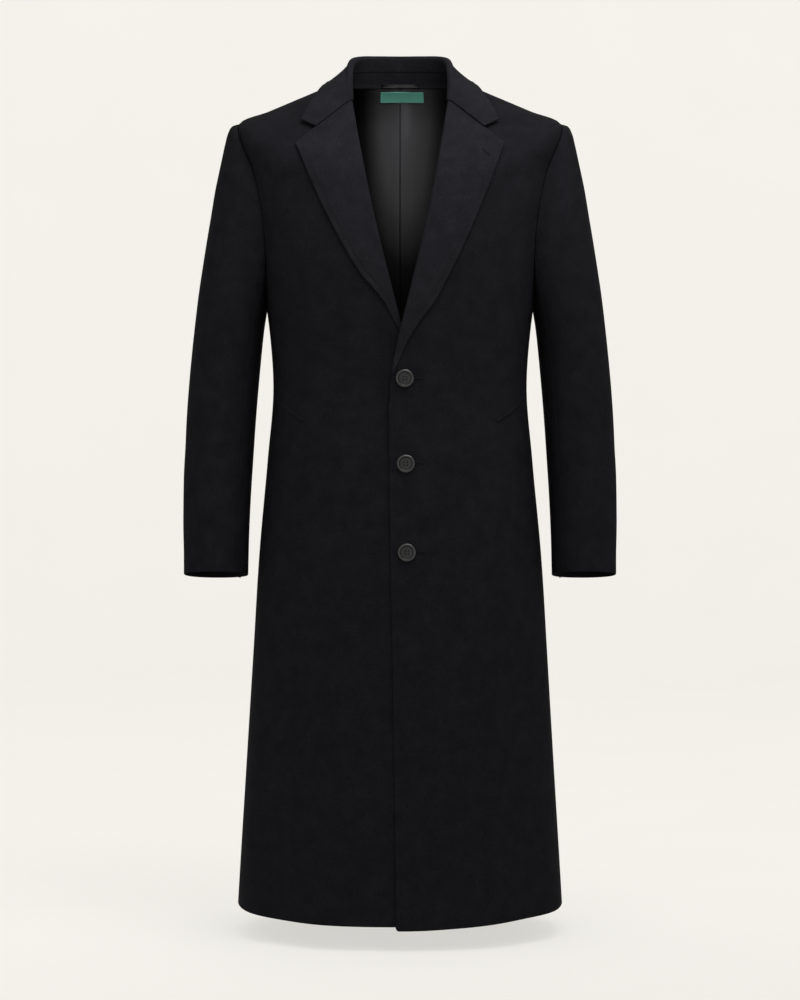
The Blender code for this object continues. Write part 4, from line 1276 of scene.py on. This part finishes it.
def make_buttons():
    rim = BUTTON_DIAMETER / 2
    radii = [turn.radius * rim for turn in BUTTON_PROFILE]
    heights = [turn.height for turn in BUTTON_PROFILE]
    holes = bmesh.new()
    half = BUTTON_HOLE_SPACING / 2
    offsets = [(over, up) for over in (-half, half) for up in (-half, half)]
    for over, up in offsets:
        made = bmesh.ops.create_cone(
            holes, cap_ends=True, segments=HOLE_SEGMENTS, radius1=BUTTON_HOLE / 2 * MM,
            radius2=BUTTON_HOLE / 2 * MM, depth=BUTTON_HOLE_DEPTH * MM,
        )
        place = np.array((over, up, BUTTON_HOLE_MIDDLE))
        bmesh.ops.translate(holes, verts=made["verts"], vec=place * MM)
    drill_mesh = bpy.data.meshes.new("button_drill")
    holes.to_mesh(drill_mesh)
    holes.free()
    drill = bpy.data.objects.new("button_drill", drill_mesh)
    bpy.context.scene.collection.objects.link(drill)
    for number, (x, z) in enumerate(BUTTONS, 1):
        spot, normal = front_point(LEFT, *find_front(x, z), BUTTON_GAP)
        button = turned(f"fine_button_{number}", list(zip(radii, heights)), BUTTON_SEGMENTS)
        cut = button.modifiers.new("holes", "BOOLEAN")
        cut.object = drill
        cut.operation = "DIFFERENCE"
        cut.solver = "EXACT"
        button = applied(button)
        button.data.shade_smooth()
        button.data.set_sharp_from_angle(angle=math.radians(SHARP_ANGLE))
        lean = math.asin(normal[2])
        turn = math.atan2(normal[0], -normal[1])
        points, faces = [], []
        for over, up in offsets:
            strand = [(over, up, level) for level in THREAD_LEVELS]
            tube(strand, THREAD_RADIUS, CORD_SIDES, points, faces, (1.0, 0.0, 0.0))
        sewn = mesh_object(f"button_thread_{number}", points, faces)
        for thing in (button, sewn):
            thing.location = spot * MM
            thing.rotation_euler = (math.pi / 2 - lean, 0, turn)
        # The horn's dull ring inside the rim is painted shade
        dress(button, HORN, f"button_{number}")
        dress(sewn, BUTTON_THREAD)
    bpy.data.objects.remove(drill, do_unlink=True)


def on_lining(x, z, lift):
    """A point inside the back at x, z, lifted off the lining towards the wearer."""
    level = back_height(z)
    inward = -outward(True, abs(x), level)
    inward[0] = math.copysign(inward[0], -x)
    return on_body(True, x, level) + inward * (CLOTH + LINING_GAP + LINING_WALL + lift)


def make_label():
    width, height = LABEL_SIZE
    columns = LABEL_CENTRE[0] + width * np.linspace(-0.5, 0.5, LABEL_STEPS[0] + 1)
    levels = LABEL_CENTRE[1] + height * np.linspace(-0.5, 0.5, LABEL_STEPS[1] + 1)
    rows = [[on_lining(x, z, LABEL_GAP + LABEL_WALL) for x in columns] for z in levels]
    label = cloth("neck_label", rows, LABEL_WALL, WOVEN, rounding=LABEL_WALL / 2)


def make_loop():
    rows = []
    for drop in np.linspace(1, 0, LOOP_STEPS[1] + 1) * LOOP_WIDTH:
        row = []
        for share in np.linspace(-1, 1, LOOP_STEPS[0] + 1):
            x = share * LOOP_LENGTH / 2
            bow = 1 - share**CROWN_POWER
            y = on_lining(x, LOOP_SEAT_Z, 0)[1] - LOOP_GAP - TAPE_WALL - LOOP_BOW * bow
            row.append((x, y, LOOP_TOP_Z - drop - LOOP_SAG * bow))
        rows.append(row)
    return cloth("hanger_loop", rows, TAPE_WALL, TAPE, rounding=TAPE_WALL / 2)


# Finishes

class Shade:
    """Builds a Principled material from a few kinds of node."""

    def __init__(self, name):
        self.material = bpy.data.materials.new(name)
        self.material.use_nodes = True
        self.nodes = self.material.node_tree.nodes
        self.links = self.material.node_tree.links
        self.shader = self.nodes["Principled BSDF"]
        self.place = self.nodes.new("ShaderNodeTexCoord").outputs["Object"]

    def set(self, **values):
        for name, value in values.items():
            self.shader.inputs[name.replace("_", " ")].default_value = value

    def stretched(self, scale, shift=(0, 0, 0)):
        mapping = self.nodes.new("ShaderNodeMapping")
        mapping.inputs["Scale"].default_value = scale
        mapping.inputs["Location"].default_value = shift
        self.links.new(self.place, mapping.inputs["Vector"])
        return mapping.outputs["Vector"]

    def noise(self, scale, detail=2.0, roughness=0.5, stretch=None):
        node = self.nodes.new("ShaderNodeTexNoise")
        node.inputs["Scale"].default_value = scale
        node.inputs["Detail"].default_value = detail
        node.inputs["Roughness"].default_value = roughness
        self.links.new(self.stretched(stretch) if stretch else self.place, node.inputs["Vector"])
        return node.outputs["Fac"]

    def wave(self, scale, stretch, distortion=0.0):
        node = self.nodes.new("ShaderNodeTexWave")
        node.inputs["Scale"].default_value = scale
        node.inputs["Distortion"].default_value = distortion
        self.links.new(self.stretched(stretch), node.inputs["Vector"])
        return node.outputs["Fac"]

    def fading(self, middle, reach):
        """1 at a middle, falling to 0 at a reach along each axis."""
        node = self.nodes.new("ShaderNodeTexGradient")
        node.gradient_type = "SPHERICAL"
        scale = [1 / span if span else 0 for span in reach]
        shift = [-place * part for place, part in zip(middle, scale)]
        self.links.new(self.stretched(scale, shift), node.inputs["Vector"])
        return node.outputs["Fac"]

    def mixed(self, first, second, share):
        node = self.nodes.new("ShaderNodeMix")
        node.data_type = "FLOAT"
        node.inputs["Factor"].default_value = share
        self.links.new(first, node.inputs[2])
        self.links.new(second, node.inputs[3])
        return node.outputs[0]

    def ramp(self, value, stops):
        node = self.nodes.new("ShaderNodeValToRGB")
        points = node.color_ramp.elements
        while len(points) < len(stops):
            points.new(0.5)
        for point, (position, colour) in zip(points, stops):
            point.position = position
            point.color = (*colour, 1)
        self.links.new(value, node.inputs["Fac"])
        return node.outputs["Color"]

    def colour(self, value, stops):
        self.links.new(self.ramp(value, stops), self.shader.inputs["Base Color"])

    def shine(self, value, stops):
        levels = [(stop, (level,) * 3) for stop, level in stops]
        self.links.new(self.ramp(value, levels), self.shader.inputs["Specular IOR Level"])

    def bump(self, value, strength, depth):
        node = self.nodes.new("ShaderNodeBump")
        node.inputs["Strength"].default_value = strength
        node.inputs["Distance"].default_value = depth
        self.links.new(value, node.inputs["Height"])
        self.links.new(node.outputs["Normal"], self.shader.inputs["Normal"])


def wool(name, depth):
    """Dark melton: a short nap, mottled at the size of the fibres' tufts; its tone is set by depth, and the
    lighter copy for lapels and collar is painted light.
    """
    shade = Shade(name)
    tufts = shade.noise(scale=700, detail=3.0, roughness=0.6)
    clouds = shade.noise(scale=45)
    shade.colour(
        shade.mixed(tufts, clouds, share=0.25),
        [(place, tuple(depth * part * tone for part in WOOL_TINT)) for place, tone in WOOL_TONES],
    )
    shade.set(Roughness=0.9, Specular_IOR_Level=0.01)
    fibres = shade.noise(scale=1500, roughness=0.6)
    shade.bump(shade.mixed(tufts, fibres, share=0.4), strength=0.5, depth=0.0006)
    return shade.material


# Painted light and shade on the lining: its colour is lightest below the neck and falls off to the sides and
# downwards as painted shade; places in metres
SATIN_LIT_MIDDLE = (0.008, 0.0, -0.024)
SATIN_SHADE_REACH = (0.074, 0, 0.28)
SATIN_SHADING_SHARE = 0.9
SATIN_TONES = ((0.06, 0.001), (0.21, 0.005), (0.36, 0.018), (0.5, 0.038), (0.8, 0.06), (0.95, 0.1))
SATIN_BLUE = 1.1
# Shine that follows the painted shading: weaker where the lining is painted dark
SATIN_SHADED_SHINE = ((0.15, 0.03), (0.5, 0.25))


def satin():
    shade = Shade("lining_satin")
    threads = shade.noise(scale=260, stretch=(6.0, 6.0, 0.35))
    # Painted light and shade on the satin: lightest just below the neck, darker to the sides and downwards
    painted_shading = shade.fading(SATIN_LIT_MIDDLE, SATIN_SHADE_REACH)
    tones = [(stop, (tone, tone, tone * SATIN_BLUE)) for stop, tone in SATIN_TONES]
    shade.colour(shade.mixed(threads, painted_shading, SATIN_SHADING_SHARE), tones)
    shade.set(Roughness=0.5)
    # Painted shade in the shine as well: less reflection where the lining is painted dark
    shade.shine(painted_shading, SATIN_SHADED_SHINE)
    shade.bump(threads, strength=0.12, depth=0.0003)
    return shade.material


# Shine of the button from its rim inwards, with a dull ring where the dish begins; the polished rim is the
# horn's own, the dull ring is painted shade for the shadow under the rim's step
HORN_SHINE_WITH_PAINTED_RING = ((0.22, 0.5), (0.27, 0.1), (0.33, 0.14), (0.42, 0.34))


def horn():
    """Dark horn with a dull dish, a polished rim and a ring of painted shade where the dish begins."""
    shade = Shade("button_horn")
    streaks = shade.noise(scale=160, detail=3.0, roughness=0.55, stretch=(1.0, 2.6, 1.0))
    shade.colour(streaks, ((0.3, (0.004, 0.004, 0.0046)), (0.7, (0.01, 0.01, 0.0115))))
    shade.set(Roughness=0.2)
    rim = BUTTON_DIAMETER / 2 * MM
    # The dip in shine just inside the rim is painted shade under the rim's step
    shade.shine(shade.fading((0, 0, 0), (rim, rim, 0)), HORN_SHINE_WITH_PAINTED_RING)
    shade.bump(shade.noise(scale=900), strength=0.06, depth=0.0002)
    return shade.material


THREAD_BLUE = 1.08


def thread(name, dark, light):
    shade = Shade(name)
    twist = shade.noise(scale=2600, detail=1.0)
    tones = [(stop, (tone, tone, tone * THREAD_BLUE)) for stop, tone in ((0.3, dark), (0.7, light))]
    shade.colour(twist, tones)
    shade.set(Roughness=0.7, Specular_IOR_Level=0.1)
    shade.bump(twist, strength=0.4, depth=0.0002)
    return shade.material


def woven():
    """The label's plain green weave."""
    shade = Shade("label_weave")
    ribs = shade.wave(scale=900, stretch=(0.0, 0.0, 1.0), distortion=0.4)
    tone = shade.mixed(ribs, shade.noise(scale=700), share=0.5)
    shade.colour(tone, ((0.25, (0.12, 0.44, 0.34)), (0.75, (0.16, 0.54, 0.43))))
    shade.set(Roughness=0.6, Sheen_Weight=0.1)
    shade.bump(tone, strength=0.3, depth=0.0002)
    return shade.material


def tape():
    shade = Shade("loop_tape")
    ribs = shade.noise(scale=900, stretch=(3.0, 1.0, 1.0))
    shade.colour(ribs, ((0.2, (0.003, 0.003, 0.0034)), (0.8, (0.008, 0.008, 0.009))))
    shade.set(Roughness=0.45, Specular_IOR_Level=0.2)
    shade.bump(ribs, strength=0.25, depth=0.0002)
    return shade.material


PAPER_GRAIN = 0.97


def pale(name, colour):
    """Plain paper that glows evenly: less on the floor, which the light from above also reaches."""
    shade = Shade(name)
    grain = shade.noise(scale=3.0)
    low = tuple(part * PAPER_GRAIN for part in colour)
    shade.colour(grain, ((0.3, low), (0.7, colour)))
    shade.set(Roughness=0.95, Specular_IOR_Level=0.0)
    shade.shader.inputs["Emission Color"].default_value = (*(part / max(colour) for part in colour), 1)
    split = shade.nodes.new("ShaderNodeSeparateXYZ")
    shade.links.new(shade.place, split.inputs["Vector"])
    rise = shade.nodes.new("ShaderNodeMapRange")
    ends = {"From Min": FLOOR_Z, "From Max": FLOOR_Z + COVE_BEND, "To Min": FLOOR_GLOW, "To Max": WALL_GLOW}
    for socket, value in ends.items():
        rise.inputs[socket].default_value = value
    shade.links.new(split.outputs["Z"], rise.inputs["Value"])
    shade.links.new(rise.outputs["Result"], shade.shader.inputs["Emission Strength"])
    return shade.material


# The studio

def make_camera():
    data = bpy.data.cameras.new("camera")
    data.lens = CAMERA_LENS
    data.sensor_width = CAMERA_SENSOR
    camera = bpy.data.objects.new("camera", data)
    camera.location = CAMERA_PLACE
    camera.rotation_euler = (math.pi / 2, 0, 0)
    bpy.context.scene.collection.objects.link(camera)
    bpy.context.scene.camera = camera


def make_sweep():
    """A pale round floor that curves up into a wall all round, lit from within like a studio cove."""
    bend = COVE_BEND / MM
    sides = COVE_SIDES
    profile = [(0.0, 0.0), (COVE_MIDDLE, 0.0), (COVE_FLOOR, 0.0)]
    for turn in np.linspace(0, math.pi / 2, COVE_BEND_STEPS + 1)[1:]:
        profile.append((COVE_FLOOR + bend * math.sin(turn), bend - bend * math.cos(turn)))
    profile.append((COVE_FLOOR + bend, COVE_HEIGHT))
    points = []
    for radius, z in profile:
        for turn in np.linspace(0, 2 * math.pi, sides, endpoint=False):
            points.append((radius * math.cos(turn), radius * math.sin(turn), z + FLOOR_Z / MM))
    faces = []
    for level in range(len(profile) - 1):
        for k in range(sides):
            after = (k + 1) % sides
            low, high = level * sides, (level + 1) * sides
            faces.append((low + k, high + k, high + after, low + after))
    floor = mesh_object("studio_cove", points, faces)
    floor.data.materials.append(pale("pale_paper", COVE_COLOUR))
    bpy.context.scene.collection.objects.link(floor)


def softbox(name, place, aim, size, power, spread):
    data = bpy.data.lights.new(name, "AREA")
    data.shape = "RECTANGLE"
    data.size, data.size_y = size
    data.energy = power
    data.spread = math.radians(spread)
    lamp = bpy.data.objects.new(name, data)
    lamp.location = place
    way = np.array(aim, float) - np.array(place, float)
    lamp.rotation_euler = (
        math.atan2(math.hypot(way[0], way[1]), -way[2]), 0, math.atan2(-way[0], way[1]),
    )
    bpy.context.scene.collection.objects.link(lamp)


def make_light():
    world = bpy.data.worlds.new("studio")
    world.use_nodes = True
    sky = world.node_tree.nodes["Background"]
    sky.inputs["Color"].default_value = SKY_COLOUR
    sky.inputs["Strength"].default_value = SKY_STRENGTH
    bpy.context.scene.world = world
    softbox(*TOP_FRONT)
    bpy.context.scene.view_settings.view_transform = "Standard"


WOOL = wool("wool_nap", depth=0.0067)
# A lighter copy of the same wool for the lapels and collar fall: painted light, standing for the light their
# turned nap and upturned faces catch
PAINTED_LIGHT_WOOL = wool("wool_nap_facing_painted_light", depth=0.0088)
SATIN = satin()
HORN = horn()
THREAD = thread("edge_thread", dark=0.002, light=0.005)
CORD = thread("buttonhole_thread", dark=0.002, light=0.004)
BUTTON_THREAD = thread("button_thread", dark=0.001, light=0.003)
WOVEN = woven()
TAPE = tape()

make_camera()
fronts = make_fronts()
backs = make_backs()
sleeves = make_sleeves()
lapels = make_lapels()
collar, stand = make_collar()
stitches = make_edge_stitches(fronts, lapels, collar)
holes = make_buttonholes()
lapel_hole = make_lapel_hole(lapels[LEFT])
welts = make_welts()
make_buttons()
make_label()
loop = make_loop()
make_sweep()
make_light()
